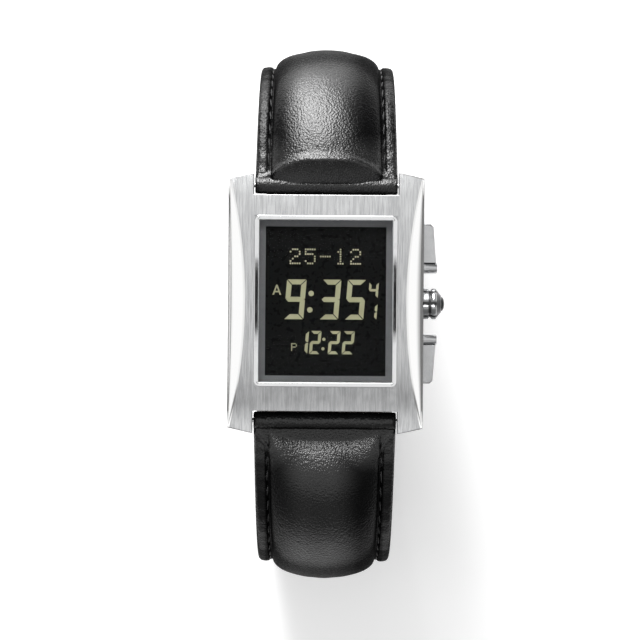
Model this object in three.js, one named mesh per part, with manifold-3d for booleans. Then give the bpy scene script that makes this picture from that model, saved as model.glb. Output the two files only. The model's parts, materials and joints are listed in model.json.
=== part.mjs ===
// Rectangular digital wristwatch on a padded leather strap, buckled as a closed loop.
// Millimetres, +Z up out of the dial, +Y towards 12 o'clock, +X towards the crown.
// The origin lies under the middle of the dial, on the flat bottom of the fixed keeper.

import * as THREE from 'three';
import { mergeVertices } from 'three/addons/utils/BufferGeometryUtils.js';
import Module from 'manifold-3d';

const wasm = await Module();
wasm.setup();

// Case
const caseLength = 44;
const caseWidth = 33;
const edgeArch = 1;
const caseHeight = 9.2;
const caseBottomInset = 0.9;
const caseBottomRise = 2;
const hornBend = 1.5;
const plateWaist = 27.1;
const plateCornerWidth = 32.6;
const facetSlopeShare = 0.55;
const hornGap = 24.5;
const hornReach = 3.8;

// Glass, its lip ring and the grey frame under it
const lipWidth = 24.1;
const lipLength = 28.9;
const lipWall = 0.75;
const lipDepth = 1.9;
const lipProud = 0.3;
const lipBevel = 0.18;
const windowShift = 0.3;
const glassThickness = 1.5;
const glassSunk = 0.12;
const glassFit = 0.1;
const frameThickness = 0.3;
const frameBorder = 1.05;
const glassGasketThickness = 0.3;
const glassGasketWidth = 0.45;
const shelfWidth = 0.6;

// Movement, from the display down to the case back
const moduleFit = 0.2;
const displayThickness = 0.5;
const displayGap = 0.1;
const displayLedge = 1.1;
const backlightThickness = 0.5;
const moduleFrameThickness = 1.75;
const moduleFrameWall = 1.6;
const moduleFrameLedge = 0.8;
const zebraWidth = 1.2;
const zebraHeight = 1.75;
const boardThickness = 0.6;
const boardMargin = 1.7;
const chipSize = 6;
const chipThickness = 0.85;
const quartzRadius = 0.75;
const quartzLength = 5;
const capacitorLength = 1.8;
const capacitorWidth = 1;
const capacitorHeight = 0.7;
const batteryRadius = 8;
const batteryThickness = 1.6;
const batteryContactThickness = 0.25;
const batteryContactWidth = 3;
const batteryContactLength = 6;
const clipStock = 0.2;
const clipWidth = 6;
const buzzerRadius = 5.5;
const buzzerThickness = 0.25;
const buzzerSpringRadius = 0.7;
const stackGap = 0.05;

// Case back
const backThickness = 1;
const backWidth = 28.4;
const backMargin = 1.7;
const backCornerRadius = 1.6;
const backGasketThickness = 0.35;
const backGasketWidth = 0.7;
const backGasketInset = 0.45;
const screwHeadRadius = 0.9;
const screwHeadHeight = 0.5;
const screwShaftRadius = 0.45;
const screwLength = 2.6;
const screwInset = 1.35;
const screwSlotWidth = 0.25;
const screwSlotDepth = 0.2;

// Pushers
const stemLevel = 4.8;
const pusherInner = 5.1;
const pusherOuter = 13.1;
const pusherHeight = 3;
const pusherReachNear = 2.3;
const pusherReachFar = 1.6;
const pusherRollWidth = 1.7;
const pusherSeam = 0.22;
const pusherTipBevel = 0.5;
const pusherEdge = 0.22;
const pusherTravel = 0.9;
const pusherPocketDepth = 1.5;
const pusherStandoff = 0.4;
const pusherStemRadius = 0.6;
const sideFit = 0.2;
const springWire = 0.25;
const springRadius = 1.1;
const springBoreRadius = 1.25;
const springBoreFloor = 11.2;
const sealThickness = 0.8;
const clipRadius = 1.1;
const clipThickness = 0.3;
const stemTip = 10;
const runningFit = 0.08;
const contactThickness = 0.2;
const contactWidth = 1.6;
const contactHeight = 1.2;

// Crown
const crownRadius = 2.62;
const crownCollarRadius = 2.5;
const crownGrooveRadius = 2.3;
const crownCollarLength = 0.85;
const crownGrooveLength = 0.4;
const crownRingLength = 0.75;
const crownConeLength = 0.8;
const crownFaceRadius = 1.4;
const crownFluteCount = 14;
const crownFluteSteps = 3;
const crownFluteShare = 0.07;
const crownTravel = 0.8;
const crownPocketDepth = 1.3;
const crownPocketFit = 0.13;
const crownStandoff = 0.3;
const crownStemRadius = 0.75;
const crownTubeRadius = 1.35;
const crownTubeBore = 0.95;
const crownTubeProud = 0.9;
const crownWasherThickness = 0.25;
const crownSkirtFit = 0.25;
const stoneRadius = 1.3;
const stoneRise = 0.75;
const stoneSink = 0.35;

// Spring bars
const barStandoff = 1.7;
const barLevel = 3;
const barRadius = 0.7;
const barBore = 0.5;
const barLength = 23.6;
const pinRadius = 0.4;
const pinInner = 9.2;
const pinTravel = 1.5;

// Strap
const strapWidthAtLug = 24.1;
const strapWidthAtBuckle = 20;
const strapThickness = 2.2;
const liningThickness = 1;
const strapTaperLength = 75;
const flangeEdge = 0.3;
const padHeight = 2.9;
const padWidth = 18.4;
const padWall = 1.1;
const padFit = 0.12;
const padFrontSide = 0.5;
const padFrontMiddle = 2.4;
const padFrontLength = 1.3;
const padFullUpper = 33;
const padFullLower = 37;
const padFadeLength = 14;
const archFadeLength = 2.85;
const padSquareness = 2.6;
const rollRadius = 1.5;
const strapDip = THREE.MathUtils.degToRad(12);
const bendRadius = 18;
const strapReachUpper = 23.6;
const strapReachLower = 27.3;
const strapLengthLower = 117.5;
const tipLength = 9;
const holePitch = 6;
const holeCount = 6;
const holeRadius = 0.95;
const stepDown = THREE.MathUtils.degToRad(12);

// Buckle and keepers
const layerGap = 0.3;
const keeperWall = 1.1;
const keeperWidth = 5;
const keeperSide = 0.35;
const slidingKeeperPlace = 9;
const buckleBarPlace = -5;
const buckleReach = 14;
const buckleBarRadius = 0.7;
const buckleEyeRadius = 1.4;
const buckleEyeBore = 0.85;
const buckleStock = 2;
const buckleSideGap = 0.6;
const buckleSideStock = 1.6;
const buckleBossRadius = 1.5;
const tongueWidth = 1.9;
const tongueThickness = 0.8;
const tongueNotch = 1.1;
const tongueSlotWidth = 2.8;
const usedHoleLength = 7;
const tonguePlay = 1;

// Shared values for cuts
const overrun = 1;
const roundSides = 20;
const smallSides = 14;
const fineSides = 40;
const cornerSteps = 4;
const gasketCornerSteps = 2;
const glassCornerSteps = 1;
const pusherRollSteps = 5;
const bossSteps = 6;
const keeperCornerSteps = 3;
const padFrontSteps = 5;
const padSteps = 14;
const bendStepShare = 0.25;
const paddingFadeShare = 0.67;

// Worked-out heights, in the frame of the table
const tailOuter = keeperWall + layerGap;
const tailInner = tailOuter + strapThickness;
const endOuter = tailInner + layerGap;
const endInner = endOuter + strapThickness;
const keeperTop = endInner + layerGap + keeperWall;
const overBuckleInner = buckleStock + layerGap + strapThickness;
const notchWall = caseLength / 2 - hornReach;
const backLength = 2 * (notchWall - backMargin);
const barAcross = notchWall + barStandoff;
const barDipY = rollRadius * Math.sin(strapDip);
const barDipZ = rollRadius * Math.cos(strapDip);
const pathStartY = barAcross - barDipY;
const dippedRadius = bendRadius * (1 - Math.sin(strapDip));
const innerReachUpper = barAcross + strapReachUpper - padHeight - strapThickness;
const innerReachLower = barAcross + strapReachLower - padHeight - strapThickness;
const leadUpper = (innerReachUpper - pathStartY - dippedRadius) / Math.cos(strapDip);
const leadLower = (innerReachLower - pathStartY - dippedRadius) / Math.cos(strapDip);
const bendDrop = bendRadius * (1 + Math.cos(strapDip));
const pathStartZ = endInner + bendDrop + leadUpper * Math.sin(strapDip);
const sideDropLower = pathStartZ - overBuckleInner - bendDrop - leadLower * Math.sin(strapDip);
const headLevel = pathStartZ + barDipZ - barLevel;

// Worked-out heights in the head, above the case back's outer face
const glassTop = caseHeight + lipProud - glassSunk;
const glassBottom = glassTop - glassThickness;
const frameTop = glassBottom - stackGap;
const frameBottom = frameTop - frameThickness;
const shelfTop = frameBottom - glassGasketThickness;
const displayTop = shelfTop - stackGap;
const displayBottom = displayTop - 2 * displayThickness - displayGap;
const moduleTop = displayBottom - stackGap;
const moduleBottom = moduleTop - moduleFrameThickness;
const boardTop = moduleBottom - stackGap;
const boardBottom = boardTop - boardThickness;
const batteryTop = boardBottom - batteryContactThickness - 2 * stackGap;
const batteryBottom = batteryTop - batteryThickness;
const clipBottom = batteryBottom - stackGap - clipStock;
const buzzerTop = backThickness + buzzerThickness;

// Worked-out widths in the head
const pinOuter = hornGap / 2 + pinTravel;
const halfWidth = caseWidth / 2;
const glassHalfWidth = lipWidth / 2 - lipWall;
const glassHalfLength = lipLength / 2 - lipWall;
const cavityHalfWidth = glassHalfWidth - shelfWidth;
const cavityHalfLength = glassHalfLength - shelfWidth;
const displayHalfWidth = cavityHalfWidth - moduleFit;
const displayHalfLength = cavityHalfLength - moduleFit;
const boardHalfWidth = cavityHalfWidth - boardMargin;
const boardHalfLength = cavityHalfLength - moduleFit;

// Materials
const steelBrushed = new THREE.MeshStandardMaterial({ color: 0xc4c4c6, roughness: 0.38, metalness: 1 });
const steelPolished = new THREE.MeshStandardMaterial({ color: 0xdadadc, roughness: 0.12, metalness: 1 });
const springSteel = new THREE.MeshStandardMaterial({ color: 0x9a9a9c, roughness: 0.35, metalness: 1 });
const goldPlated = new THREE.MeshStandardMaterial({ color: 0xc8a050, roughness: 0.3, metalness: 1 });
const leatherBlack = new THREE.MeshStandardMaterial({ color: 0x141414, roughness: 0.42, metalness: 0 });
const leatherLining = new THREE.MeshStandardMaterial({ color: 0x2a2724, roughness: 0.7, metalness: 0 });
const foam = new THREE.MeshStandardMaterial({ color: 0x45423f, roughness: 0.9, metalness: 0 });
const glassClear = new THREE.MeshStandardMaterial({ color: 0xe8eef0, roughness: 0.03, metalness: 0 });
const displayGlass = new THREE.MeshStandardMaterial({ color: 0x17171a, roughness: 0.2, metalness: 0 });
const greyFrame = new THREE.MeshStandardMaterial({ color: 0x4d4d50, roughness: 0.45, metalness: 0 });
const rubberBlack = new THREE.MeshStandardMaterial({ color: 0x101010, roughness: 0.8, metalness: 0 });
const zebraRubber = new THREE.MeshStandardMaterial({ color: 0x6a5a68, roughness: 0.8, metalness: 0 });
const plasticDark = new THREE.MeshStandardMaterial({ color: 0x202022, roughness: 0.6, metalness: 0 });
const plasticPale = new THREE.MeshStandardMaterial({ color: 0xd8d8cc, roughness: 0.5, metalness: 0 });
const boardGreen = new THREE.MeshStandardMaterial({ color: 0x1d5a34, roughness: 0.5, metalness: 0 });
const ceramic = new THREE.MeshStandardMaterial({ color: 0xb9a58a, roughness: 0.6, metalness: 0 });
const stoneBlack = new THREE.MeshStandardMaterial({ color: 0x050506, roughness: 0.08, metalness: 0 });

const watch = new THREE.Group();
const head = new THREE.Group();
head.position.z = headLevel;
watch.add(head);

function place(parent, name, geometry, material) {
  const mesh = new THREE.Mesh(geometry, material);
  mesh.name = name;
  parent.add(mesh);
  return mesh;
}

// Booleans on closed meshes
function solidOf(geometry) {
  const bare = geometry.clone();
  bare.deleteAttribute('normal');
  bare.deleteAttribute('uv');
  const merged = mergeVertices(bare);
  const vertProperties = new Float32Array(merged.attributes.position.array);
  const triVerts = new Uint32Array(merged.index.array);
  return new wasm.Manifold(new wasm.Mesh({ numProp: 3, vertProperties, triVerts }));
}

function geometryOf(solid) {
  const mesh = solid.getMesh();
  const geometry = new THREE.BufferGeometry();
  geometry.setAttribute('position', new THREE.BufferAttribute(new Float32Array(mesh.vertProperties), 3));
  geometry.setIndex(new THREE.BufferAttribute(new Uint32Array(mesh.triVerts), 1));
  geometry.computeVertexNormals();
  return geometry;
}

function carve(base, cuts, joins = []) {
  let solid = solidOf(base);
  for (const join of joins) {
    solid = solid.add(solidOf(join));
  }
  for (const cut of cuts) {
    solid = solid.subtract(solidOf(cut));
  }
  return geometryOf(solid);
}

// Building blocks
function block(x0, x1, y0, y1, z0, z1) {
  const geometry = new THREE.BoxGeometry(x1 - x0, y1 - y0, z1 - z0);
  return geometry.translate((x0 + x1) / 2, (y0 + y1) / 2, (z0 + z1) / 2);
}

function rodX(radius, x0, x1, y, z, sides = roundSides) {
  const geometry = new THREE.CylinderGeometry(radius, radius, x1 - x0, sides);
  geometry.rotateZ(-Math.PI / 2);
  return geometry.translate((x0 + x1) / 2, y, z);
}

function rodZ(radius, z0, z1, x, y, sides = roundSides) {
  const geometry = new THREE.CylinderGeometry(radius, radius, z1 - z0, sides);
  geometry.rotateX(Math.PI / 2);
  return geometry.translate(x, y, (z0 + z1) / 2);
}

function sleeve(bore, radius, start, end, sides) {
  const profile = [
    new THREE.Vector2(bore, start),
    new THREE.Vector2(radius, start),
    new THREE.Vector2(radius, end),
    new THREE.Vector2(bore, end),
    new THREE.Vector2(bore, start),
  ];
  return new THREE.LatheGeometry(profile, sides);
}

function sleeveX(bore, radius, x0, x1, y, z, sides = roundSides) {
  return sleeve(bore, radius, x0, x1, sides).rotateZ(-Math.PI / 2).translate(0, y, z);
}

function sleeveZ(bore, radius, z0, z1, x, y, sides = roundSides) {
  return sleeve(bore, radius, z0, z1, sides).rotateX(Math.PI / 2).translate(x, y, 0);
}

function roundedShape(halfX, halfY, radius, shape = new THREE.Shape()) {
  const r = Math.min(radius, halfX, halfY);
  shape.moveTo(-halfX + r, -halfY);
  shape.lineTo(halfX - r, -halfY);
  shape.absarc(halfX - r, -halfY + r, r, -Math.PI / 2, 0, false);
  shape.lineTo(halfX, halfY - r);
  shape.absarc(halfX - r, halfY - r, r, 0, Math.PI / 2, false);
  shape.lineTo(-halfX + r, halfY);
  shape.absarc(-halfX + r, halfY - r, r, Math.PI / 2, Math.PI, false);
  shape.lineTo(-halfX, -halfY + r);
  shape.absarc(-halfX + r, -halfY + r, r, Math.PI, Math.PI * 1.5, false);
  return shape;
}

function extrude(shape, depth, curveSegments = cornerSteps) {
  return new THREE.ExtrudeGeometry(shape, { depth, bevelEnabled: false, curveSegments });
}

function extrudeBevelled(shape, depth, bevel, curveSegments = cornerSteps) {
  const settings = { depth: depth - 2 * bevel, bevelEnabled: true, bevelSegments: 1, curveSegments };
  settings.bevelThickness = bevel;
  settings.bevelSize = bevel;
  settings.bevelOffset = -bevel;
  return new THREE.ExtrudeGeometry(shape, settings).translate(0, 0, bevel);
}

function ringPlate(halfX, halfY, innerX, innerY, z0, z1, radius) {
  const shape = roundedShape(halfX, halfY, radius);
  const wall = Math.min(halfX - innerX, halfY - innerY);
  shape.holes.push(roundedShape(innerX, innerY, Math.max(radius - wall, radius / 2), new THREE.Path()));
  return extrude(shape, z1 - z0, gasketCornerSteps).translate(0, 0, z0);
}

function towardsX(geometry) {
  const turn = new THREE.Matrix4();
  turn.makeBasis(new THREE.Vector3(0, 1, 0), new THREE.Vector3(0, 0, 1), new THREE.Vector3(1, 0, 0));
  return geometry.applyMatrix4(turn);
}

function closedMesh(points, triangles) {
  const geometry = new THREE.BufferGeometry();
  const position = new Float32Array(points.flat());
  geometry.setAttribute('position', new THREE.BufferAttribute(position, 3));
  let volume = 0;
  for (const [a, b, c] of triangles) {
    const pa = new THREE.Vector3(...points[a]);
    const pb = new THREE.Vector3(...points[b]);
    const pc = new THREE.Vector3(...points[c]);
    volume += pa.dot(pb.cross(pc));
  }
  const facing = volume > 0 ? triangles : triangles.map(([a, b, c]) => [a, c, b]);
  geometry.setIndex(facing.flat());
  geometry.computeVertexNormals();
  return geometry;
}

// A stack of closed rings with the same number of points, capped flat at both ends
function ringStack(rings) {
  const count = rings[0].length;
  const points = rings.flat();
  const triangles = [];
  for (let ring = 0; ring + 1 < rings.length; ring += 1) {
    for (let i = 0; i < count; i += 1) {
      const a = ring * count + i;
      const b = ring * count + (i + 1) % count;
      triangles.push([a, b, b + count]);
      triangles.push([a, b + count, a + count]);
    }
  }
  const first = THREE.ShapeUtils.triangulateShape(rings[0].map((p) => p.flat2), []);
  for (const [a, b, c] of first) {
    triangles.push([a, c, b]);
  }
  const base = (rings.length - 1) * count;
  const last = THREE.ShapeUtils.triangulateShape(rings[rings.length - 1].map((p) => p.flat2), []);
  for (const [a, b, c] of last) {
    triangles.push([base + a, base + b, base + c]);
  }
  return closedMesh(points.map((p) => [p.x, p.y, p.z]), triangles);
}

// A turned piece whose rim can be fluted, from stations of { x, r, flute }
function fluted(stations, sides, flutes, y, z) {
  const points = [[stations[0].x, y, z]];
  const triangles = [];
  for (const { x, r, flute } of stations) {
    for (let i = 0; i < sides; i += 1) {
      const angle = (i / sides) * Math.PI * 2;
      const wave = 1 - flute * (0.5 + 0.5 * Math.cos(angle * flutes));
      points.push([x, y + r * wave * Math.cos(angle), z + r * wave * Math.sin(angle)]);
    }
  }
  const lastPole = points.length;
  points.push([stations[stations.length - 1].x, y, z]);
  for (let i = 0; i < sides; i += 1) {
    const next = (i + 1) % sides;
    triangles.push([0, 1 + next, 1 + i]);
    for (let ring = 0; ring + 1 < stations.length; ring += 1) {
      const a = 1 + ring * sides;
      triangles.push([a + i, a + next, a + sides + next]);
      triangles.push([a + i, a + sides + next, a + sides + i]);
    }
    const b = 1 + (stations.length - 1) * sides;
    triangles.push([b + i, b + next, lastPole]);
  }
  return closedMesh(points, triangles);
}

// Case body: a curved top plate between two polished side facets
const facetSteps = 3;
const plateSteps = 4;
const lengthSteps = 16;

function edgeY(x) {
  const shape = 1 - (hornGap / caseWidth) ** 2;
  return caseLength / 2 - edgeArch + edgeArch * (1 - (x / halfWidth) ** 2) / shape;
}

function plateHalf(y) {
  const waist = plateWaist / 2;
  const corner = plateCornerWidth / 2;
  return waist + (corner - waist) * (2 * y / caseLength) ** 2;
}

function topHeight(y) {
  return caseHeight - hornBend * Math.abs(2 * y / caseLength) ** 3;
}

function topPoint(acrossShare, lengthShare, plate) {
  const roughY = lengthShare * caseLength / 2;
  const inner = plateHalf(roughY);
  const x = plate ? acrossShare * inner : inner + (halfWidth - inner) * Math.abs(acrossShare);
  const signed = plate ? x : Math.sign(acrossShare) * x;
  const y = lengthShare * edgeY(signed);
  const fall = plate ? 0 : facetSlopeShare * (halfWidth - inner) * acrossShare ** 2;
  return [signed, y, topHeight(y) - fall];
}

function caseBlank() {
  const columns = [];
  for (let i = facetSteps; i > 0; i -= 1) {
    columns.push({ share: -i / facetSteps, plate: false });
  }
  for (let i = 0; i <= plateSteps; i += 1) {
    columns.push({ share: -1 + 2 * i / plateSteps, plate: true });
  }
  for (let i = 1; i <= facetSteps; i += 1) {
    columns.push({ share: i / facetSteps, plate: false });
  }
  const points = [];
  const triangles = [];
  const wide = columns.length;
  for (let row = 0; row <= lengthSteps; row += 1) {
    const lengthShare = -1 + 2 * row / lengthSteps;
    for (const column of columns) {
      points.push(topPoint(column.share, lengthShare, column.plate));
    }
  }
  const size = points.length;
  const shrinkX = 1 - caseBottomInset / halfWidth;
  const shrinkY = 1 - 2 * caseBottomInset / caseLength;
  for (let i = 0; i < size; i += 1) {
    points.push([points[i][0] * shrinkX, points[i][1] * shrinkY, backThickness]);
  }
  for (let row = 0; row < lengthSteps; row += 1) {
    for (let column = 0; column + 1 < wide; column += 1) {
      const a = row * wide + column;
      triangles.push([a, a + 1, a + wide + 1], [a, a + wide + 1, a + wide]);
      const b = a + size;
      triangles.push([b, b + wide + 1, b + 1], [b, b + wide, b + wide + 1]);
    }
  }
  const rim = [];
  for (let i = 0; i < wide; i += 1) {
    rim.push(i);
  }
  for (let row = 1; row <= lengthSteps; row += 1) {
    rim.push(row * wide + wide - 1);
  }
  for (let i = wide - 2; i >= 0; i -= 1) {
    rim.push(lengthSteps * wide + i);
  }
  for (let row = lengthSteps - 1; row > 0; row -= 1) {
    rim.push(row * wide);
  }
  const waistRing = rim.map((index) => {
    points.push([points[index][0], points[index][1], backThickness + caseBottomRise]);
    return points.length - 1;
  });
  for (let i = 0; i < rim.length; i += 1) {
    const next = (i + 1) % rim.length;
    triangles.push([rim[i], waistRing[next], rim[next]], [rim[i], waistRing[i], waistRing[next]]);
    const low = rim[i] + size;
    const lowNext = rim[next] + size;
    triangles.push([waistRing[i], lowNext, waistRing[next]], [waistRing[i], low, lowNext]);
  }
  return closedMesh(points, triangles);
}

const screwPlaces = [];
for (const sideX of [-1, 1]) {
  for (const sideY of [-1, 1]) {
    screwPlaces.push([sideX * (backWidth / 2 - screwInset), sideY * (backLength / 2 - screwInset)]);
  }
}

const gasketHalfX = cavityHalfWidth + backGasketInset;
const gasketHalfY = cavityHalfLength + backGasketInset;
const pusherMiddle = (pusherInner + pusherOuter) / 2;
const pusherSpan = pusherOuter - pusherInner;
const pocketFloor = halfWidth - pusherPocketDepth;
const crownFloor = halfWidth - crownPocketDepth;

function caseBody() {
  const high = caseHeight + overrun;
  const cuts = [];
  const cavity = block(
    -cavityHalfWidth, cavityHalfWidth, -cavityHalfLength, cavityHalfLength, backThickness - overrun, high,
  );
  const glassSeat = block(
    -glassHalfWidth, glassHalfWidth, -glassHalfLength, glassHalfLength, shelfTop, high,
  );
  const lipSeat = block(
    -lipWidth / 2, lipWidth / 2, -lipLength / 2, lipLength / 2, caseHeight + lipProud - lipDepth, high,
  );
  for (const cut of [cavity, glassSeat, lipSeat]) {
    cuts.push(cut.translate(0, windowShift, 0));
  }
  const groove = ringPlate(
    gasketHalfX + backGasketWidth + stackGap, gasketHalfY + backGasketWidth + stackGap,
    gasketHalfX - stackGap, gasketHalfY - stackGap,
    backThickness - overrun, backThickness + backGasketThickness + stackGap, backCornerRadius,
  );
  cuts.push(groove.translate(0, windowShift, 0));
  for (const [x, y] of screwPlaces) {
    const tip = backThickness - screwHeadHeight + screwLength;
    cuts.push(rodZ(screwShaftRadius + runningFit, backThickness - overrun, tip, x, y, smallSides));
  }
  for (const side of [-1, 1]) {
    const wall = side * notchWall;
    const far = side * (edgeY(0) + overrun);
    const span = [Math.min(wall, far), Math.max(wall, far)];
    cuts.push(block(-hornGap / 2, hornGap / 2, span[0], span[1], -overrun, high));
    const hole = pinOuter + layerGap;
    cuts.push(rodX(pinRadius + runningFit, -hole, hole, side * barAcross, barLevel, smallSides));
    const y = side * pusherMiddle;
    const half = pusherSpan / 2 + sideFit;
    const tall = pusherHeight / 2 + sideFit;
    cuts.push(block(
      pocketFloor, halfWidth + overrun, y - half, y + half, stemLevel - tall, stemLevel + tall,
    ));
    cuts.push(rodX(springBoreRadius, springBoreFloor, pocketFloor + overrun, y, stemLevel, roundSides));
    cuts.push(rodX(pusherStemRadius + runningFit, 0, springBoreFloor + overrun, y, stemLevel, roundSides));
  }
  const pocketRadius = crownRadius + crownPocketFit;
  cuts.push(rodX(pocketRadius, crownFloor, halfWidth + overrun, 0, stemLevel, fineSides));
  cuts.push(rodX(crownTubeRadius, springBoreFloor, crownFloor + overrun, 0, stemLevel, roundSides));
  cuts.push(rodX(crownTubeBore, 0, springBoreFloor + overrun, 0, stemLevel, roundSides));
  return carve(caseBlank(), cuts);
}

place(head, 'case_body', caseBody(), steelBrushed);

// Glass and what holds it
const glazing = new THREE.Group();
glazing.position.y = windowShift;
head.add(glazing);

function lipRing() {
  const fit = stackGap;
  const outer = roundedShape(lipWidth / 2 - fit, lipLength / 2 - fit, lipWall);
  const blank = extrudeBevelled(outer, lipDepth - fit, lipBevel);
  blank.translate(0, 0, caseHeight + lipProud - lipDepth + fit);
  const hole = block(
    -glassHalfWidth, glassHalfWidth, -glassHalfLength, glassHalfLength, 0, caseHeight + lipProud + overrun,
  );
  return carve(blank, [hole]);
}

place(glazing, 'lip_ring', lipRing(), steelPolished);

const glassX = glassHalfWidth - glassFit;
const glassY = glassHalfLength - glassFit;
const glassShape = roundedShape(glassX, glassY, glassFit);
const glassBlank = extrudeBevelled(glassShape, glassThickness, lipBevel / 2, glassCornerSteps);
place(glazing, 'crystal', glassBlank.translate(0, 0, glassBottom), glassClear);
place(
  glazing, 'display_mask',
  ringPlate(glassX, glassY, glassX - frameBorder, glassY - frameBorder, frameBottom, frameTop, glassFit),
  greyFrame,
);
place(
  glazing, 'crystal_gasket',
  ringPlate(
    glassX, glassY, glassX - glassGasketWidth, glassY - glassGasketWidth, shelfTop, frameBottom, glassFit,
  ),
  rubberBlack,
);

// Display
const upperBottom = displayTop - displayThickness;
place(
  glazing, 'lcd_upper_glass',
  block(
    -displayHalfWidth, displayHalfWidth, -displayHalfLength + displayLedge, displayHalfLength - displayLedge,
    upperBottom, displayTop,
  ),
  displayGlass,
);
place(
  glazing, 'lcd_lower_glass',
  block(
    -displayHalfWidth, displayHalfWidth, -displayHalfLength, displayHalfLength,
    displayBottom, upperBottom - displayGap,
  ),
  displayGlass,
);
const zebraPlace = displayHalfLength - displayLedge;

// Movement frame, lamp panel and connectors
const moduleHalfX = displayHalfWidth - moduleFit;
const moduleHalfY = displayHalfLength - moduleFit;
const lampHalfX = moduleHalfX - moduleFrameWall;
const lampHalfY = zebraPlace - zebraWidth - moduleFit;
const lampBottom = moduleTop - backlightThickness - stackGap;
const contactPlace = boardHalfWidth - contactThickness;
const stemRows = [pusherMiddle - windowShift, -windowShift, -pusherMiddle - windowShift];

function moduleFrame() {
  const blank = block(-moduleHalfX, moduleHalfX, -moduleHalfY, moduleHalfY, moduleBottom, moduleTop);
  const cuts = [
    block(-lampHalfX, lampHalfX, -lampHalfY, lampHalfY, lampBottom, moduleTop + overrun),
    block(
      -lampHalfX + moduleFrameLedge, lampHalfX - moduleFrameLedge,
      -lampHalfY + moduleFrameLedge, lampHalfY - moduleFrameLedge, moduleBottom - overrun, moduleTop,
    ),
  ];
  for (const side of [-1, 1]) {
    const y = side * zebraPlace;
    const half = zebraWidth / 2 + stackGap;
    cuts.push(block(-lampHalfX, lampHalfX, y - half, y + half, moduleBottom - overrun, moduleTop + overrun));
  }
  for (const y of stemRows) {
    const half = contactWidth;
    cuts.push(block(
      lampHalfX, moduleHalfX + overrun, y - half, y + half, moduleBottom - overrun, moduleTop + overrun,
    ));
  }
  return carve(blank, cuts);
}

place(glazing, 'module_frame', moduleFrame(), plasticDark);
place(
  glazing, 'backlight_panel',
  block(
    -lampHalfX + stackGap, lampHalfX - stackGap, -lampHalfY + stackGap, lampHalfY - stackGap,
    lampBottom, lampBottom + backlightThickness,
  ),
  plasticPale,
);
for (const [name, side] of [['zebra_strip_upper', 1], ['zebra_strip_lower', -1]]) {
  const y = side * zebraPlace;
  const x = lampHalfX - stackGap;
  const half = zebraWidth / 2;
  place(glazing, name, block(-x, x, y - half, y + half, boardTop, boardTop + zebraHeight), zebraRubber);
}

// Circuit board and what sits on it
const stripInner = contactPlace - contactThickness - stackGap;
const boardBlank = block(
  -boardHalfWidth, boardHalfWidth, -boardHalfLength, boardHalfLength, boardBottom, boardTop,
);
const boardStep = block(
  stripInner, boardHalfWidth + overrun, -boardHalfLength - overrun, boardHalfLength + overrun,
  boardTop - contactThickness - stackGap / 2, boardTop + overrun,
);
place(glazing, 'circuit_board', carve(boardBlank, [boardStep]), boardGreen);
const batteryPlace = -boardHalfLength + batteryRadius + moduleFit;
const chipPlace = boardHalfLength - chipSize / 2 - boardMargin;
const chipAcross = -boardHalfWidth + chipSize / 2 + boardMargin;
const quartzAcross = boardHalfWidth - quartzLength / 2 - boardMargin;
place(
  glazing, 'controller_chip',
  block(
    chipAcross - chipSize / 2, chipAcross + chipSize / 2, chipPlace - chipSize / 2, chipPlace + chipSize / 2,
    boardBottom - chipThickness, boardBottom,
  ),
  plasticDark,
);
place(
  glazing, 'quartz_resonator',
  rodX(
    quartzRadius, quartzAcross - quartzLength / 2, quartzAcross + quartzLength / 2,
    chipPlace + chipSize / 2 - quartzRadius, boardBottom - quartzRadius - stackGap, smallSides,
  ),
  steelPolished,
);
place(
  glazing, 'capacitor',
  block(
    quartzAcross - capacitorLength / 2, quartzAcross + capacitorLength / 2,
    chipPlace - capacitorWidth / 2, chipPlace + capacitorWidth / 2,
    boardBottom - capacitorHeight, boardBottom,
  ),
  ceramic,
);

// Battery and its clip
place(
  glazing, 'battery_cell',
  rodZ(batteryRadius, batteryBottom, batteryTop, 0, batteryPlace, fineSides),
  steelPolished,
);
const contactHalf = batteryContactWidth / 2;
place(
  glazing, 'battery_contact',
  block(
    -contactHalf, contactHalf, batteryPlace, batteryPlace + batteryContactLength,
    batteryTop + stackGap, batteryTop + stackGap + batteryContactThickness,
  ),
  goldPlated,
);

function batteryClip() {
  const outer = batteryRadius + stackGap + clipStock;
  const half = clipWidth / 2;
  const front = batteryPlace - half;
  const back = batteryPlace + half;
  const blank = block(-outer, outer, front, back, clipBottom, boardBottom);
  const inside = outer - clipStock;
  const room = block(
    -inside, inside, front - overrun, back + overrun, clipBottom + clipStock, boardBottom + overrun,
  );
  return carve(blank, [room]);
}

place(glazing, 'battery_clip', batteryClip(), springSteel);

// Buzzer
const buzzerPlace = batteryPlace + clipWidth / 2 + buzzerRadius + stackGap * 2;
place(
  glazing, 'buzzer_disc',
  rodZ(buzzerRadius, backThickness, buzzerTop, 0, buzzerPlace, roundSides),
  goldPlated,
);
const buzzerSpringPlace = batteryPlace + batteryRadius + buzzerSpringRadius + moduleFit;
place(
  glazing, 'buzzer_spring',
  sleeveZ(
    buzzerSpringRadius - springWire, buzzerSpringRadius, buzzerTop + stackGap, boardBottom - stackGap,
    0, buzzerSpringPlace, smallSides,
  ),
  springSteel,
);

// Switch spring: one strip on the board with a leaf behind each pusher and the crown
function switchSpring() {
  const x = contactPlace;
  const half = contactWidth / 2;
  const end = stemRows[0] + half;
  const start = stemRows[stemRows.length - 1] - half;
  const stripTop = boardTop + stackGap / 2;
  const strip = block(
    x - contactThickness, x + contactThickness, start, end, boardTop - contactThickness, stripTop,
  );
  const leaves = stemRows.map((y) => (
    block(x, x + contactThickness, y - half, y + half, boardTop - contactThickness, boardTop + contactHeight)
  ));
  return carve(strip, [], leaves);
}

place(glazing, 'switch_spring', switchSpring(), goldPlated);

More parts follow.
